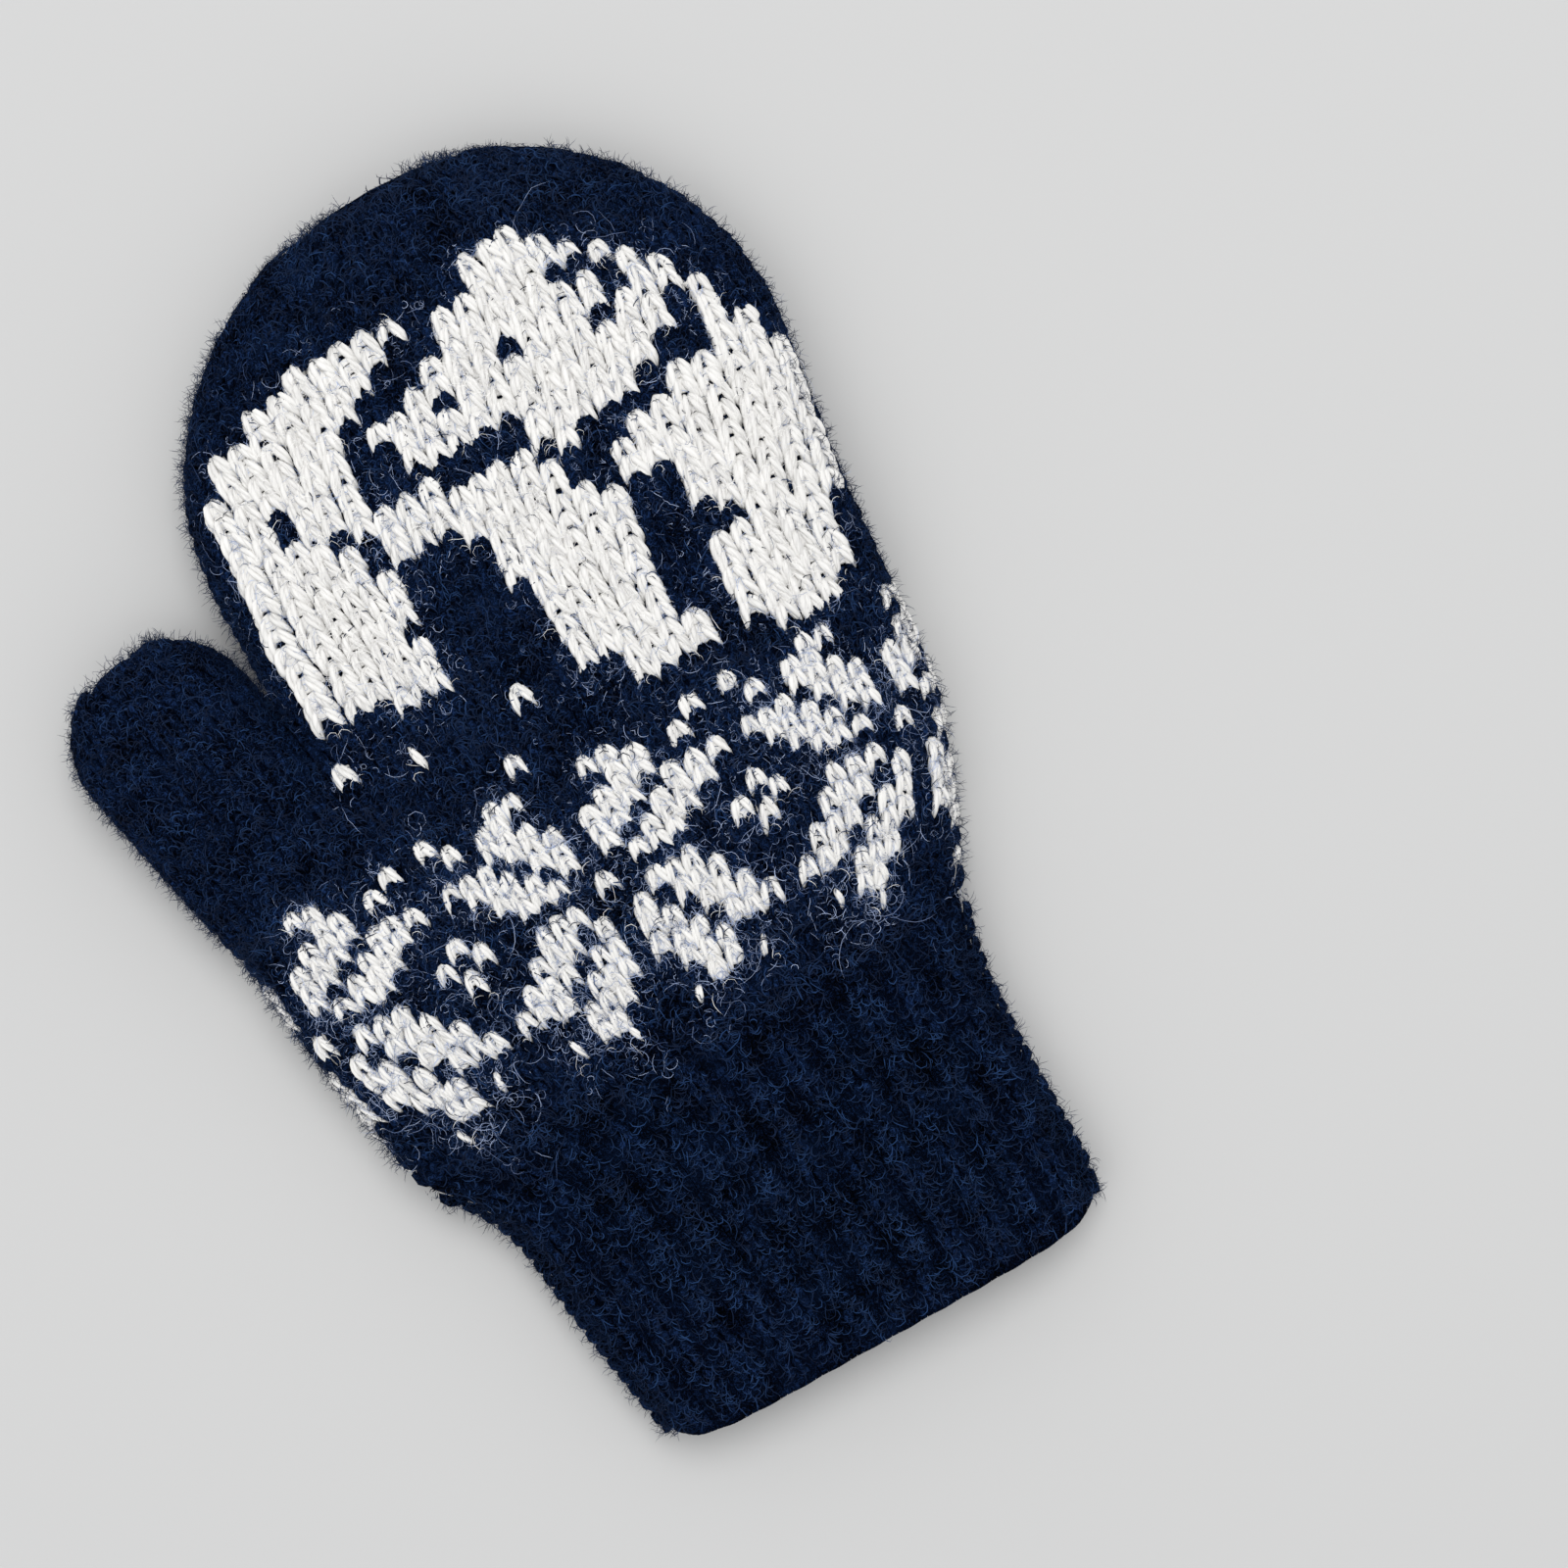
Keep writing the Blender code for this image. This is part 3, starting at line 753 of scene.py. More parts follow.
# How far up a stitch has to face to belong to the bear, and to the front
BEAR_FACING = 0.15
FRONT_FACING = -0.05
# Chance differences of a stitch's column and row
STITCH_CHANCE = (0.035, 0.06)


class Chart:
    """Every stitch of the hand, sorted into navy and white."""

    def __init__(self):
        self.lower = lower_skin(solid_tree("hand"))
        self.upper = upper_skin(solid_tree("hand"))
        self.thumb = thumb_skin(solid_tree("hand"), solid_tree("thumb"))
        self.cuff = cuff_skin(solid_tree("cuff"))
        self.rng = dice("chart")
        self.stitches = []
        for row in range(int(FIRST_ROW), BAND_TOP_ROW + 1):
            for column in range(LOWER_FIRST, LOWER_FIRST + LOWER_COUNT):
                legs = star_legs(column, row)
                self.add(self.lower, column, row, "star" if legs else "navy", legs or "both")
        for row in range(BAND_TOP_ROW + 1, int(LAST_ROW)):
            for column in range(UPPER_FIRST, UPPER_FIRST + UPPER_COUNT):
                self.add(self.upper, column, row, None)
        self.mark_lone()
        self.kinds = {(id(s["skin"]), s["c"], s["r"]): s["kind"] for s in self.stitches}

    def add(self, skin, column, row, kind, legs="both"):
        """Adds a stitch, unless the fabric is too narrow for it or the thumb covers it."""
        c, r = np.array([float(column)]), np.array([float(row)])
        x, y, z = skin.point(c, r)[0]
        up = skin.normal(c, r)[0][2]
        pitch = float(skin.width(c, r)[0])
        if pitch < NARROW[0] and column % 2 or pitch < NARROW[1]:
            return
        across, along = thumb_place(x, y)
        if across < THUMB_SIDE and -THUMB_MOUTH < along < 0.0:
            return
        x, y = seen(x, y, z)
        if kind is None:
            kind = "bear" if up > BEAR_FACING and in_bear(x, y) else "navy"
        dc, dr = self.rng.normal(0, STITCH_CHANCE)
        self.stitches.append({"skin": skin, "c": column, "r": row, "dc": dc, "dr": dr,
                              "x": x, "y": y, "up": up, "kind": kind, "legs": legs})

    def mark_lone(self):
        facing = [s for s in self.stitches if s["up"] > 0]
        for x, y, legs in LONE_STITCHES:
            near = min(facing, key=lambda s: (s["x"] - x) ** 2 + (s["y"] + LONE_RISE - y) ** 2)
            near["kind"], near["legs"] = "bear", legs

    def white_kind(self, skin, c, r):
        """Whether the stitch at each of these columns and rows is white."""
        kinds = (self.kinds.get((id(skin), round(a), round(b))) for a, b in zip(c, r))
        return np.array([kind in ("bear", "star") for kind in kinds])

    def borders_navy(self, stitch):
        beside = ((1, 0), (-1, 0), (0, 1), (0, -1))
        key = id(stitch["skin"])
        return any(self.kinds.get((key, stitch["c"] + a, stitch["r"] + b)) == "navy" for a, b in beside)

    def pick(self, *kinds):
        return [s for s in self.stitches if s["kind"] in kinds]

    def back(self, chosen, rng):
        """The strands behind the chosen whole stitches."""
        parts = []
        for skin in (self.lower, self.upper):
            own = [s for s in chosen if s["skin"] is skin and s["legs"] == "both"]
            if own:
                c, r = (np.array([float(s[k]) for s in own]) for k in ("c", "r"))
                parts.append(backing(skin, c, r, rng))
        return parts

    def knit(self, chosen, style, rng, plump=1.0, lift=0.0):
        """The legs of the chosen stitches; white ones are wound from plies."""
        parts = []
        for skin in (self.lower, self.upper):
            own = [s for s in chosen if s["skin"] is skin]
            for side, word in ((-1.0, "left"), (1.0, "right")):
                shown = [s for s in own if s["legs"] in ("both", word)]
                if shown:
                    c, r = (np.array([s[k] + s["d" + k] for s in shown]) for k in ("c", "r"))
                    legs = stitch_legs(skin, c, r, side, style, rng, plump, lift)
                    parts.append(wind_plies(*legs, rng) if style == "white" else legs)
        return parts


CHART = []


def chart():
    """The chart, worked out once for all the operators."""
    if not CHART:
        CHART.append(Chart())
    return CHART[0]


# Materials

# The nets of fibres on felt: how fine each is, how far it is shifted and how wide its lines are
FELT_LINES = ((900.0, 0.0, 0.055), (560.0, 0.37, 0.045))
# Place on the scale from shadow to light, then share of the wool's colour
FELT_TONES = ((0.38, 0.08), (0.64, 0.55), (0.88, 1.6), (1.0, 3.0))
YARN_TONES = ((0.36, 0.68), (0.55, 0.94), (0.8, 1.03))
# Strength and depth of each relief, the depth in metres
FELT_RELIEF = (0.8, 0.0004)
YARN_RELIEF = (0.6, 0.0003)
# Fibres round a ply, along it and from one ply to the next, and how far they wind round it
YARN_FIBRES = (9.0, 1.6, 60.0)
YARN_TWIST = 0.6


def new_material(name):
    material = bpy.data.materials.new(name)
    material.use_nodes = True
    return material, material.node_tree


def feed(tree, node, values):
    """Gives each named input of a node its value, or the output that it is linked to."""
    for name, value in values.items():
        if isinstance(value, bpy.types.NodeSocket):
            tree.links.new(value, node.inputs[name])
        else:
            node.inputs[name].default_value = value


def add_node(tree, kind, values=None, **settings):
    """Adds a node with its settings and its inputs, and gives its outputs."""
    node = tree.nodes.new(kind)
    for name, value in settings.items():
        setattr(node, name, value)
    feed(tree, node, values or {})
    return node.outputs


def calculate(tree, operation, *values):
    return add_node(tree, "ShaderNodeMath", dict(enumerate(values)), operation=operation)[0]


def ramp(tree, value, *stops):
    node = tree.nodes.new("ShaderNodeValToRGB")
    elements = node.color_ramp.elements
    while len(elements) < len(stops):
        elements.new(0.5)
    for element, (place, colour) in zip(elements, stops):
        element.position = place
        element.color = (*colour, 1.0)
    feed(tree, node, {"Fac": value})
    return node.outputs["Color"]


def scaled(colour, share):
    return tuple(min(1.0, part * share) for part in colour)


def toned(tree, value, colour, tones):
    """The colour from its shadow to its light."""
    return ramp(tree, value, *((place, scaled(colour, share)) for place, share in tones))


def relief(tree, height, strength, distance):
    values = {"Strength": strength, "Distance": distance, "Height": height}
    return add_node(tree, "ShaderNodeBump", values)["Normal"]


def curled_lines(tree, place, scale, offset, width):
    """A net of thin curled lines, 1 on each line and 0 between them."""
    shifted = add_node(
        tree, "ShaderNodeVectorMath", {0: place, 1: (offset, offset * 0.7, offset * 1.3)}, operation="ADD")[0]
    noise = add_node(tree, "ShaderNodeTexNoise", {
        "Vector": shifted, "Scale": scale, "Detail": 1.5, "Roughness": 0.5, "Distortion": 1.2})["Fac"]
    away = calculate(tree, "ABSOLUTE", calculate(tree, "SUBTRACT", noise, 0.5))
    return add_node(tree, "ShaderNodeMapRange", {
        "Value": away, "From Min": 0.0, "From Max": width, "To Min": 1.0, "To Max": 0.0,
    }, interpolation_type="SMOOTHSTEP")["Result"]


def felted_wool(name, colour):
    """Wool whose surface is a mat of short curled fibres."""
    material, tree = new_material(name)
    place = tree.nodes.new("ShaderNodeTexCoord").outputs["Object"]
    fibre = calculate(tree, "MAXIMUM", *(curled_lines(tree, place, *line) for line in FELT_LINES))
    patches = add_node(tree, "ShaderNodeTexNoise", {"Vector": place, "Scale": 110.0, "Detail": 4.0})["Fac"]
    mixed = calculate(tree, "MULTIPLY_ADD", fibre, 0.55, patches)
    feed(tree, tree.nodes["Principled BSDF"], {
        "Base Color": toned(tree, mixed, colour, FELT_TONES),
        "Normal": relief(tree, fibre, *FELT_RELIEF),
        "Roughness": 0.9,
        "Specular IOR Level": 0.02,
        "Sheen Weight": 0.05,
        "Sheen Roughness": 0.5,
        "Sheen Tint": (*scaled(colour, 6.0), 1.0),
    })
    return material


def plied_wool(name, colour):
    """Soft white yarn: fine fibres wound along each ply, each ply a little lighter or darker."""
    material, tree = new_material(name)
    yarn = add_node(tree, "ShaderNodeUVMap", uv_map="yarn")["UV"]
    split = add_node(tree, "ShaderNodeSeparateXYZ", {0: yarn})
    tint = add_node(tree, "ShaderNodeAttribute", attribute_name="tint")["Fac"]
    wound = calculate(tree, "MULTIPLY_ADD", split["Y"], YARN_TWIST, split["X"])
    lines = add_node(tree, "ShaderNodeCombineXYZ", {"X": wound, "Y": split["Y"], "Z": tint})[0]
    drawn = add_node(tree, "ShaderNodeVectorMath", {0: lines, 1: YARN_FIBRES}, operation="MULTIPLY")[0]
    fibre = add_node(tree, "ShaderNodeTexNoise", {
        "Vector": drawn, "Scale": 1.0, "Detail": 3.0, "Roughness": 0.65})["Fac"]
    tone = calculate(tree, "MULTIPLY_ADD", tint, 0.18, fibre)
    feed(tree, tree.nodes["Principled BSDF"], {
        "Base Color": toned(tree, tone, colour, YARN_TONES),
        "Normal": relief(tree, fibre, *YARN_RELIEF),
        "Roughness": 0.8,
        "Specular IOR Level": 0.2,
        "Sheen Weight": 0.2,
    })
    return material


def loose_fibre(name, dark, light):
    """Single hairs, each a little lighter or darker than the next."""
    material, tree = new_material(name)
    tint = add_node(tree, "ShaderNodeAttribute", attribute_name="tint")["Fac"]
    feed(tree, tree.nodes["Principled BSDF"], {
        "Base Color": ramp(tree, tint, (0.0, dark), (1.0, light)),
        "Roughness": 0.75,
        "Specular IOR Level": 0.12,
    })
    return material


def plain(name, colour):
    material, tree = new_material(name)
    feed(tree, tree.nodes["Principled BSDF"], {
        "Base Color": (*colour, 1.0), "Roughness": 0.9, "Specular IOR Level": 0.1})
    return material


def material_once(name, make, *values):
    return bpy.data.materials.get(name) or make(name, *values)


def navy_felt(context):
    return material_once("navy_felt", felted_wool, tuple(context.scene.mitten_wool.navy))


def wear(piece, material, *nodes, slot="navy_wool"):
    """Gives a piece its finish and its body, and hides the solids that it stands for."""
    piece.data.materials.append(material)
    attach(piece, "root")
    if nodes:
        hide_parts(*nodes)


# Loose hairs: dark and light colours of each kind

NAVY_HAIR = ((0.0012, 0.0045, 0.0170), (0.0110, 0.0370, 0.1120))
WHITE_HAIR = ((0.025, 0.055, 0.150), (0.50, 0.60, 0.86))
PALE_HAIR = ((0.60, 0.59, 0.60), (0.94, 0.93, 0.90))
# Half widths in millimetres
NAP_RADIUS = 0.085
PALE_RADIUS = 0.038
HALO_RADIUS = 0.05
STRAY_RADIUS = 0.034
# Ranges of the nap's lengths, curls, rises and depths
NAP_LENGTHS = (1.6, 5.2)
NAP_CURLS = (0.4, 4.0)
NAP_RISES = (0.1, 0.8)
NAP_DEPTHS = (-0.25, 0.35)
# Ranges of the halo's lengths and rises, how much it curls and how far its headings spread
HALO_LENGTHS = (1.2, 4.4)
HALO_RISES = (0.0, 0.4)
HALO_CURL = 2.6
HALO_SPREAD = 0.75
# A halo grows only where the fabric faces up or down less than this
HALO_STEEP = 0.85
# How many hairs of the navy nap lie on white, and of the white nap at its edge
NAVY_ON_WHITE = 0.05
PALE_AT_EDGE = 0.12
# How many hairs the valleys lose, where they start beside a crest and how softly
VALLEY_BARE = (0.94, 0.3, 0.35)
# How far strays lie from their stitch, in columns and rows, and the longest of them
STRAY_SPREAD = (0.7, 0.9)
STRAY_LONGEST = 14.0
# How each nap lies: its height over the fabric, the spread of its headings, the column of the legs
HAND_NAP = (0.85, 0.55, 0.26)
RIB_NAP = (0.85, 0.4, 0.13)
PALE_NAP = (1.4, 0.4, 0.26)


def hair_paths(starts, headings, normals, lengths, curls, rises, steps, rng):
    """Curved paths over the fabric: each turns by its curl along its length and arches up by its rise."""
    count = len(starts)
    t = np.linspace(0, 1, steps + 1)
    side = np.cross(normals, headings)
    turn = curls[:, None] * (t[None, :-1] + 0.5 / steps) + rng.normal(0, 0.12, (count, steps))
    step = headings[:, None] * np.cos(turn)[..., None] + side[:, None] * np.sin(turn)[..., None]
    step = step * (lengths / steps)[:, None, None]
    flat = np.concatenate([np.zeros((count, 1, 3)), np.cumsum(step, axis=1)], axis=1)
    arch = (np.sin(math.pi * t) ** 0.8)[None] * rises[:, None]
    return starts[:, None] + flat + normals[:, None] * arch[..., None]


def hair_piece(name, paths, normals, radius, rng, shade=None):
    """A piece of ribbons; without a shade for each, they get one by chance."""
    count, points = paths.shape[0], paths.shape[1]
    t = np.linspace(0, 1, points)[1:-1]
    width = radius * (0.55 + 0.45 * np.sin(math.pi * t))[None] * rng.uniform(0.7, 1.25, (count, 1))
    facing = np.broadcast_to(normals[:, None], paths[:, 1:-1].shape)
    return ribbon_mesh(name, paths, facing, width, rng.uniform(0, 1, count) if shade is None else shade)


def along_skin(skin, c, r):
    """Points on a skin and the way towards the next row from each."""
    points = skin.point(c, r)
    return points, skin.point(c, r + 0.2) - points


def scatter(skin, count, columns, rows, rng):
    """Random places on a skin: column, row, point, normal and the direction along the columns."""
    c = rng.uniform(*columns, count)
    r = rng.uniform(*rows, count)
    normals = skin.normal(c, r)
    points, along = along_skin(skin, c, r)
    along = unit(along - normals * np.sum(along * normals, axis=1, keepdims=True))
    return c, r, points, normals, along


def turned(headings, normals, angles):
    """Directions turned about the surface normal."""
    side = np.cross(normals, headings)
    return headings * np.cos(angles)[:, None] + side * np.sin(angles)[:, None]


def nap_shading_and_lean(c, r, leg):
    """How bright the nap is and how it leans: painted light on the hairs over each leg and painted shade on
    those between the legs, lighter and darker in random clumps; brushed along each leg.
    """
    off = c - np.round(c)
    # Hairs over a leg are painted lighter and hairs between the legs darker, as light and shade would fall on
    # them; the clumps vary at random.
    lit_on_leg = np.exp(-((np.abs(off) - leg) / 0.13) ** 2)
    clump = 1 + 0.3 * np.sin(0.9 * c + 1.7 * r) + 0.25 * np.sin(2.1 * c - 0.6 * r + 1.0)
    return (0.32 + 1.05 * lit_on_leg) * clump, -0.38 * np.sign(off) + 0.5 * np.sin(1.3 * c + 0.8 * r)


def nap_batch(skin, count, columns, rows, rng, keep, lie):
    """Short curled hairs lying on the fabric, along the legs of the stitches."""
    over, spread, leg = lie
    c, r, points, normals, along = scatter(skin, count, columns, rows, rng)
    chosen = keep(skin, c, r, rng)
    c, r, points, normals, along = (values[chosen] for values in (c, r, points, normals, along))
    count = len(points)
    # tone holds painted light over the legs and painted shade between them, with random clumps.
    tone, lean = nap_shading_and_lean(c, r, leg)
    headings = turned(along, normals, lean + rng.normal(0, spread, count))
    lengths = rng.uniform(*NAP_LENGTHS, count)
    curls = rng.uniform(*NAP_CURLS, count) * rng.choice((-1, 1), count)
    rooted = points + normals * (over + rng.uniform(*NAP_DEPTHS, count))[:, None]
    start = rooted - headings * (lengths / 2)[:, None]
    shade = np.clip(rng.beta(1.1, 1.9, count) * tone, 0, 1)
    rises = rng.uniform(*NAP_RISES, count)
    return hair_paths(start, headings, normals, lengths, curls, rises, 4, rng), normals, shade


def halo_batch(skin, count, columns, rows, depth, rng):
    """Hairs that stand out from an edge, rooted at a depth in the wool."""
    points, normals, along = scatter(skin, count, columns, rows, rng)[2:]
    steep = np.abs(normals[:, 2]) < HALO_STEEP
    points, normals, along = points[steep], normals[steep], along[steep]
    count = len(points)
    level = unit(normals * np.array([1.0, 1.0, 0.3]))
    headings = unit(level + along * rng.normal(0, HALO_SPREAD, count)[:, None])
    up = np.array([[0.0, 0.0, 1.0]]) + rng.normal(0, 0.6, (count, 3))
    up = unit(up - headings * np.sum(up * headings, axis=1, keepdims=True))
    lengths = rng.uniform(*HALO_LENGTHS, count)
    curls = rng.normal(0, HALO_CURL, count)
    rises = rng.uniform(*HALO_RISES, count)
    return hair_paths(points - normals * depth, headings, up, lengths, curls, rises, 5, rng), up


def edge_ranges(now):
    """Where each skin meets the outline: its columns, its rows, its share of the hairs and their depth."""
    last = now.thumb.rows[-1]
    shallow, deep = -0.2, 1.3
    return (
        (now.lower, (-18.4, -16.2), (-7.5, 7.0), 0.14, shallow),
        (now.lower, (16.5, 18.8), (-7.5, 8.0), 0.13, shallow),
        (now.upper, (-9.0, -7.7), (17.0, 38.0), 0.13, shallow),
        (now.upper, (15.8, 18.2), (8.0, 38.0), 0.2, shallow),
        (now.upper, (-8.5, 20.0), (38.9, 40.6), 0.3, deep),
        (now.thumb, (-4.5, -3.6), (-5.0, last - 1), 0.07, shallow),
        (now.thumb, (13.6, 14.5), (-5.0, last - 1), 0.04, shallow),
        (now.thumb, (3.8, 6.2), (1.0, last - 1), 0.06, shallow),
        (now.thumb, (-4.5, 8.0), (last - 0.6, last), 0.04, shallow),
        (now.cuff, (-0.6, 0.8), (0.5, 19.6), 0.12, shallow),
        (now.cuff, (12.2, 13.8), (0.5, 19.6), 0.12, shallow),
    )


def nap_ranges(now):
    """The pieces of the nap: for each batch a skin, its share of the hairs, its columns and its rows."""
    hand, band = (8.0, 40.3), (-8.4, 8.5)
    thumb, cuff = (-6.5, now.thumb.rows[-1]), (0.0, 19.8)
    return {
        "nap_front": ((now.upper, 0.62, (-8.6, 17.0), hand), (now.lower, 0.38, (-17.2, 17.6), band)),
        "nap_palm": ((now.upper, 0.2, (17.0, 41.0), hand), (now.lower, 0.12, (18.0, 46.0), band)),
        "nap_thumb": ((now.thumb, 0.14, (-4.5, 4.5), thumb), (now.thumb, 0.05, (5.5, 14.5), thumb)),
        "nap_cuff": ((now.cuff, 0.48, (0.0, 13.0), cuff), (now.cuff, 0.12, (13.0, 26.0), cuff)),
    }


def navy_places(skin, c, r, rng):
    """Keeps nearly every hair that lies on navy, and a few on white."""
    return ~chart().white_kind(skin, c, r) | (rng.uniform(0, 1, len(c)) < NAVY_ON_WHITE)


def crest_places(skin, c, r, rng):
    """Keeps the hairs on the crests of the ribs and thins them out in the valleys."""
    away = np.abs(c - np.round(c)) * 2
    most, start, softly = VALLEY_BARE
    return rng.uniform(0, 1, len(c)) > most * np.clip((away - start) / softly, 0, 1)


def white_places(skin, c, r, rng):
    """Keeps the hairs that lie well inside the white, and a few at its edge."""
    now = chart()
    inner = {(id(s["skin"]), s["c"], s["r"]): not now.borders_navy(s) for s in now.pick("bear", "star")}
    keep = [inner.get((id(skin), round(a), round(b))) for a, b in zip(c, r)]
    edge = rng.uniform(0, 1, len(c)) < PALE_AT_EDGE
    return np.array([kept is not None and (kept or few) for kept, few in zip(keep, edge)])


# Sizes and colours that a user would change

class MittenWool(bpy.types.PropertyGroup):
    navy: bpy.props.FloatVectorProperty(
        name="Navy", description="Colour of the main wool", subtype="COLOR", size=3, min=0, max=1,
        default=(0.0028, 0.0078, 0.0258))
    white: bpy.props.FloatVectorProperty(
        name="White", description="Colour of the pattern wool", subtype="COLOR", size=3, min=0, max=1,
        default=(0.795, 0.784, 0.762))
    plump: bpy.props.FloatProperty(
        name="Plumpness", description="How full the white stitches are, against their column",
        default=1.0, min=0.5, max=1.3)


class MittenFuzz(bpy.types.PropertyGroup):
    nap: bpy.props.IntProperty(
        name="Nap hairs", description="Short navy hairs over the hand", default=19000, min=0, max=24000)
    halo: bpy.props.IntProperty(
        name="Halo hairs", description="Hairs that stand out past the outline",
        default=12500, min=0, max=16000)
    strays: bpy.props.IntProperty(
        name="White strays", description="Long white hairs that cross the navy",
        default=11000, min=0, max=14000)


class MittenStage(bpy.types.PropertyGroup):
    floor: bpy.props.FloatVectorProperty(
        name="Floor", description="Colour of the floor", subtype="COLOR", size=3, min=0, max=1,
        default=(0.525, 0.525, 0.522))
    light: bpy.props.FloatProperty(
        name="Light", description="Strength of the main light", default=12.6, min=0, unit="POWER")
    height: bpy.props.FloatProperty(
        name="Camera height", description="Camera over the floor", default=0.748, min=0.3, unit="LENGTH")


class MITTEN_OT_stage(bpy.types.Operator):
    """Lays the floor, hangs the lights and sets the camera straight above"""
    bl_idname = "mitten.stage"
    bl_label = "Floor, lights and camera"

    def execute(self, context):
        stage = context.scene.mitten_stage
        mesh = bpy.data.meshes.new("floor")
        corners = [(x * FLOOR_REACH, y * FLOOR_REACH, 0) for x, y in ((-1, -1), (1, -1), (1, 1), (-1, 1))]
        mesh.from_pydata(corners, [], [(0, 1, 2, 3)])
        mesh.materials.append(plain("floor_paper", stage.floor))
        floor = bpy.data.objects.new("floor", mesh)
        context.scene.collection.objects.link(floor)

        for name, (place, size, share) in LIGHTS.items():
            lamp = bpy.data.lights.new(name, "AREA")
            lamp.shape, lamp.size, lamp.energy = "DISK", size, stage.light * share
            light = bpy.data.objects.new(name, lamp)
            light.location = place
            beam = Vector(LIT_PLACE) - Vector(place)
            light.rotation_euler = beam.to_track_quat("-Z", "Y").to_euler()
            context.scene.collection.objects.link(light)

        world = bpy.data.worlds.new("studio")
        world.use_nodes = True
        feed(world.node_tree, world.node_tree.nodes["Background"], {
            "Color": SKY_COLOUR, "Strength": SKY_STRENGTH})
        context.scene.world = world
        context.scene.view_settings.view_transform = "Standard"

        camera = bpy.data.objects.new("camera", bpy.data.cameras.new("camera"))
        camera.data.lens, camera.data.sensor_width = LENS, SENSOR
        camera.data.clip_start = CLIP_START
        camera.location = (EYE[0] * MM, EYE[1] * MM, stage.height)
        camera.rotation_euler = (0, 0, PHOTO_TURN)
        context.scene.collection.objects.link(camera)
        context.scene.camera = camera
        return {"FINISHED"}


def fabric_copy(name, node):
    """The solid's own walls, a little thinner, to carry the stitches."""
    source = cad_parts[node].data
    points = np.array([tuple(v.co) for v in source.vertices]) / MM
    normals = np.array([tuple(v.normal) for v in source.vertices])
    faces = [p.vertices[:] for p in source.polygons]
    triangles, quads = (
        np.array([face for face in faces if len(face) == size], dtype=int).reshape(-1, size)
        for size in (3, 4))
    return mesh_object(name, points - normals * FABRIC_INSET, triangles, quads)


class MITTEN_OT_fabric(bpy.types.Operator):
    """Makes the felted walls of the hand, the thumb and the cuff"""
    bl_idname = "mitten.fabric"
    bl_label = "Felted walls"

    def execute(self, context):
        felt = navy_felt(context)
        # The cuff's walls are the navy at 0.6 of its brightness: painted shade for the valleys between its
        # ribs, where the walls show between the stitches.
        cuff_shade = material_once("valley_felt", felted_wool, scaled(context.scene.mitten_wool.navy, 0.6))
        for node, material in (("hand", felt), ("thumb", felt), ("cuff", cuff_shade)):
            wear(fabric_copy(node + "_fabric", node), material, node)
        return {"FINISHED"}


class MITTEN_OT_hand_stitches(bpy.types.Operator):
    """Knits the navy stitches of the hand"""
    bl_idname = "mitten.hand_stitches"
    bl_label = "Navy stitches of the hand"

    def execute(self, context):
        rng = dice("hand")
        navy = chart().pick("navy")
        for face, chosen in (
            ("front", [s for s in navy if s["up"] > FRONT_FACING]),
            ("palm", [s for s in navy if s["up"] <= FRONT_FACING]),
        ):
            legs = chart().knit(chosen, "navy", rng, lift=NAVY_LIFT)
            wear(knit_piece("hand_stitches_" + face, legs, LEG_SIDES["navy"], rng), navy_felt(context))
        return {"FINISHED"}


def white_pieces(context, kind):
    """The white stitches of one kind and the strands behind them."""
    wool = context.scene.mitten_wool
    rng = dice(kind)
    white = material_once("white_yarn", plied_wool, tuple(wool.white))
    chosen = chart().pick(kind)
    legs = chart().knit(chosen, "white", rng, wool.plump, WHITE_LIFT)
    wear(knit_piece(kind + "_stitches", legs, LEG_SIDES["white"], rng), white, slot="white_wool")
    wear(knit_piece(kind + "_backing", chart().back(chosen, rng), 6, rng), white, slot="white_wool")


class MITTEN_OT_bear(bpy.types.Operator):
    """Knits the white bear and the lone white stitches under it"""
    bl_idname = "mitten.bear"
    bl_label = "White bear"

    def execute(self, context):
        white_pieces(context, "bear")
        return {"FINISHED"}


class MITTEN_OT_stars(bpy.types.Operator):
    """Knits the band of white stars round the hand"""
    bl_idname = "mitten.stars"
    bl_label = "Band of stars"

    def execute(self, context):
        white_pieces(context, "star")
        return {"FINISHED"}


def places(columns, rows):
    """The columns and the rows of every stitch in a block."""
    return (np.array(v, dtype=float) for v in zip(*((c, r) for r in rows for c in columns)))


class MITTEN_OT_thumb_stitches(bpy.types.Operator):
    """Knits the thumb"""
    bl_idname = "mitten.thumb_stitches"
    bl_label = "Stitches of the thumb"

    def execute(self, context):
        rng = dice("thumb")
        skin = chart().thumb
        c, r = places(THUMB_COLUMNS, range(-6, int(skin.rows[-1]) + 1))
        legs = [stitch_legs(skin, c, r, side, "navy", rng, lift=THUMB_LIFT) for side in (-1.0, 1.0)]
        wear(knit_piece("thumb_stitches", legs, LEG_SIDES["navy"], rng), navy_felt(context))
        return {"FINISHED"}


class MITTEN_OT_cuff_rib(bpy.types.Operator):
    """Knits the one by one rib of the cuff"""
    bl_idname = "mitten.cuff_rib"
    bl_label = "Rib of the cuff"

    def execute(self, context):
        rng = dice("cuff")
        c, r = places(range(CUFF_RIBS), range(1, CUFF_ROWS))
        legs = [rib_legs(chart().cuff, c, r, side, rng) for side in (-1.0, 1.0)]
        wear(knit_piece("cuff_rib", legs, LEG_SIDES["navy"], rng), navy_felt(context))
        return {"FINISHED"}


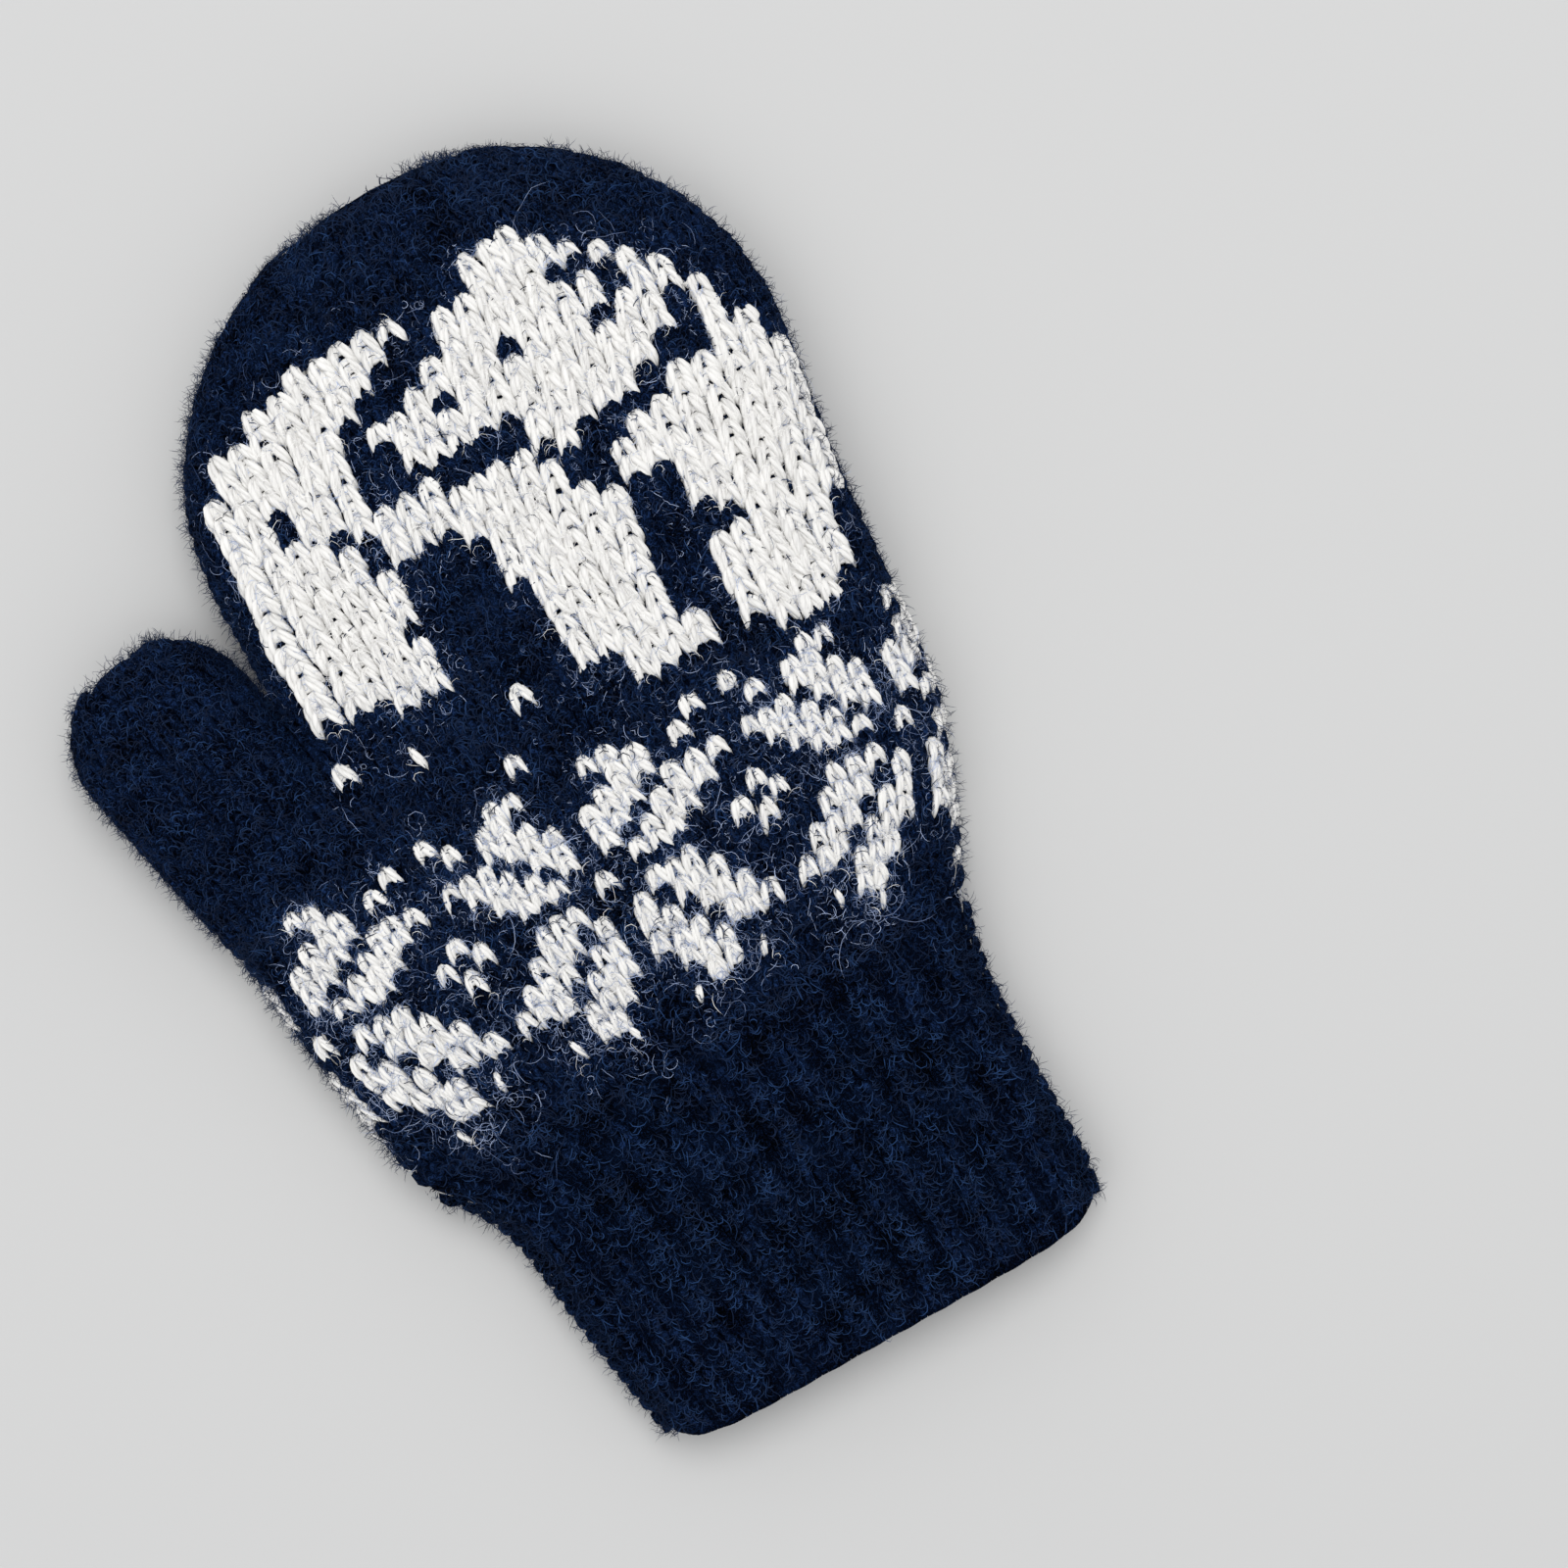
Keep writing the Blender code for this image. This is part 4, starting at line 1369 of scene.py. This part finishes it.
class MITTEN_OT_nap(bpy.types.Operator):
    """Brushes up the short hairs over the wool"""
    bl_idname = "mitten.nap"
    bl_label = "Nap"

    def execute(self, context):
        total = context.scene.mitten_fuzz.nap
        now = chart()
        rng = dice("nap")
        hair = material_once("navy_hair", loose_fibre, *NAVY_HAIR)
        for name, batches in nap_ranges(now).items():
            made = []
            for skin, share, columns, rows in batches:
                keep, lie = (crest_places, RIB_NAP) if skin is now.cuff else (navy_places, HAND_NAP)
                made.append(nap_batch(skin, int(total * share), columns, rows, rng, keep, lie))
            paths, normals, shade = joined(made)
            wear(hair_piece(name, paths, normals, NAP_RADIUS, rng, shade), hair)
        made = [
            nap_batch(skin, int(total * share), columns, rows, rng, white_places, PALE_NAP)[:2]
            for skin, share, columns, rows in (
                (now.upper, 0.5, (-8.6, 17.0), (8.0, 36.0)), (now.lower, 0.32, (-17.2, 17.6), (-7.5, 7.5)))
        ]
        paths, normals = joined(made)
        hair = material_once("pale_hair", loose_fibre, *PALE_HAIR)
        wear(hair_piece("nap_white", paths, normals, PALE_RADIUS, rng), hair, slot="white_wool")
        return {"FINISHED"}


class MITTEN_OT_halo(bpy.types.Operator):
    """Adds the hairs that stand out past the outline"""
    bl_idname = "mitten.halo"
    bl_label = "Halo"

    def execute(self, context):
        total = context.scene.mitten_fuzz.halo
        rng = dice("halo")
        paths, normals = joined([
            halo_batch(skin, int(total * share), columns, rows, depth, rng)
            for skin, columns, rows, share, depth in edge_ranges(chart())
        ])
        hair = material_once("navy_hair", loose_fibre, *NAVY_HAIR)
        shade = rng.uniform(0, 0.5, len(paths))
        wear(hair_piece("halo", paths, normals, HALO_RADIUS, rng, shade), hair)
        return {"FINISHED"}


class MITTEN_OT_strays(bpy.types.Operator):
    """Lays the long white hairs that have worked loose from the pattern"""
    bl_idname = "mitten.strays"
    bl_label = "White strays"

    def execute(self, context):
        rng = dice("strays")
        now = chart()
        edges = [s for s in now.pick("bear", "star") if s["up"] > 0 and now.borders_navy(s)]
        weights = np.array([1.0 if s["kind"] == "star" else 0.75 for s in edges])
        count = context.scene.mitten_fuzz.strays
        chosen = [edges[k] for k in rng.choice(len(edges), count, p=weights / weights.sum())]
        made = []
        for skin in (now.lower, now.upper):
            own = [s for s in chosen if s["skin"] is skin]
            c, r = (np.array([s[k] + rng.normal(0, spread) for s in own])
                    for k, spread in zip(("c", "r"), STRAY_SPREAD))
            normals = skin.normal(c, r)
            points, along = along_skin(skin, c, r)
            count = len(own)
            headings = turned(unit(along), normals, rng.uniform(0, 2 * math.pi, count))
            lengths = 1.8 + rng.gamma(1.1, 2.2, count)
            curls = rng.normal(0, 1.0, count) * (1.2 + 0.5 * lengths)
            start = points + normals * rng.uniform(0.85, 1.3, count)[:, None]
            rises = rng.uniform(0.0, 0.3, count)
            lengths = np.minimum(lengths, STRAY_LONGEST)
            made.append((hair_paths(start, headings, normals, lengths, curls, rises, 7, rng), normals))
        paths, normals = joined(made)
        hair = material_once("white_hair", loose_fibre, *WHITE_HAIR)
        shade = rng.beta(1.1, 1.7, len(paths))
        wear(hair_piece("stray_hairs", paths, normals, STRAY_RADIUS, rng, shade), hair, slot="white_wool")
        return {"FINISHED"}


class MITTEN_PT_sidebar(bpy.types.Panel):
    bl_idname = "MITTEN_PT_sidebar"
    bl_label = "Knitted mitten"
    bl_space_type = "VIEW_3D"
    bl_region_type = "UI"
    bl_category = "Mitten"

    def draw(self, context):
        layout = self.layout
        for group in GROUPS:
            for name in GROUPS[group].__annotations__:
                layout.prop(getattr(context.scene, group), name)
        for operator in OPERATORS:
            layout.operator(operator.bl_idname)


GROUPS = {"mitten_wool": MittenWool, "mitten_fuzz": MittenFuzz, "mitten_stage": MittenStage}
OPERATORS = (
    MITTEN_OT_stage,
    MITTEN_OT_fabric,
    MITTEN_OT_hand_stitches,
    MITTEN_OT_bear,
    MITTEN_OT_stars,
    MITTEN_OT_thumb_stitches,
    MITTEN_OT_cuff_rib,
    MITTEN_OT_nap,
    MITTEN_OT_halo,
    MITTEN_OT_strays,
)
CLASSES = (*GROUPS.values(), *OPERATORS, MITTEN_PT_sidebar)


def register():
    for item in CLASSES:
        bpy.utils.register_class(item)
    for name, group in GROUPS.items():
        setattr(bpy.types.Scene, name, bpy.props.PointerProperty(type=group))


def unregister():
    for name in GROUPS:
        delattr(bpy.types.Scene, name)
    for item in reversed(CLASSES):
        bpy.utils.unregister_class(item)


def main():
    register()
    bpy.ops.mitten.stage()
    bpy.ops.mitten.fabric()
    bpy.ops.mitten.hand_stitches()
    bpy.ops.mitten.bear()
    bpy.ops.mitten.stars()
    bpy.ops.mitten.thumb_stitches()
    bpy.ops.mitten.cuff_rib()
    bpy.ops.mitten.nap()
    bpy.ops.mitten.halo()
    bpy.ops.mitten.strays()


if __name__ == "__main__":
    main()
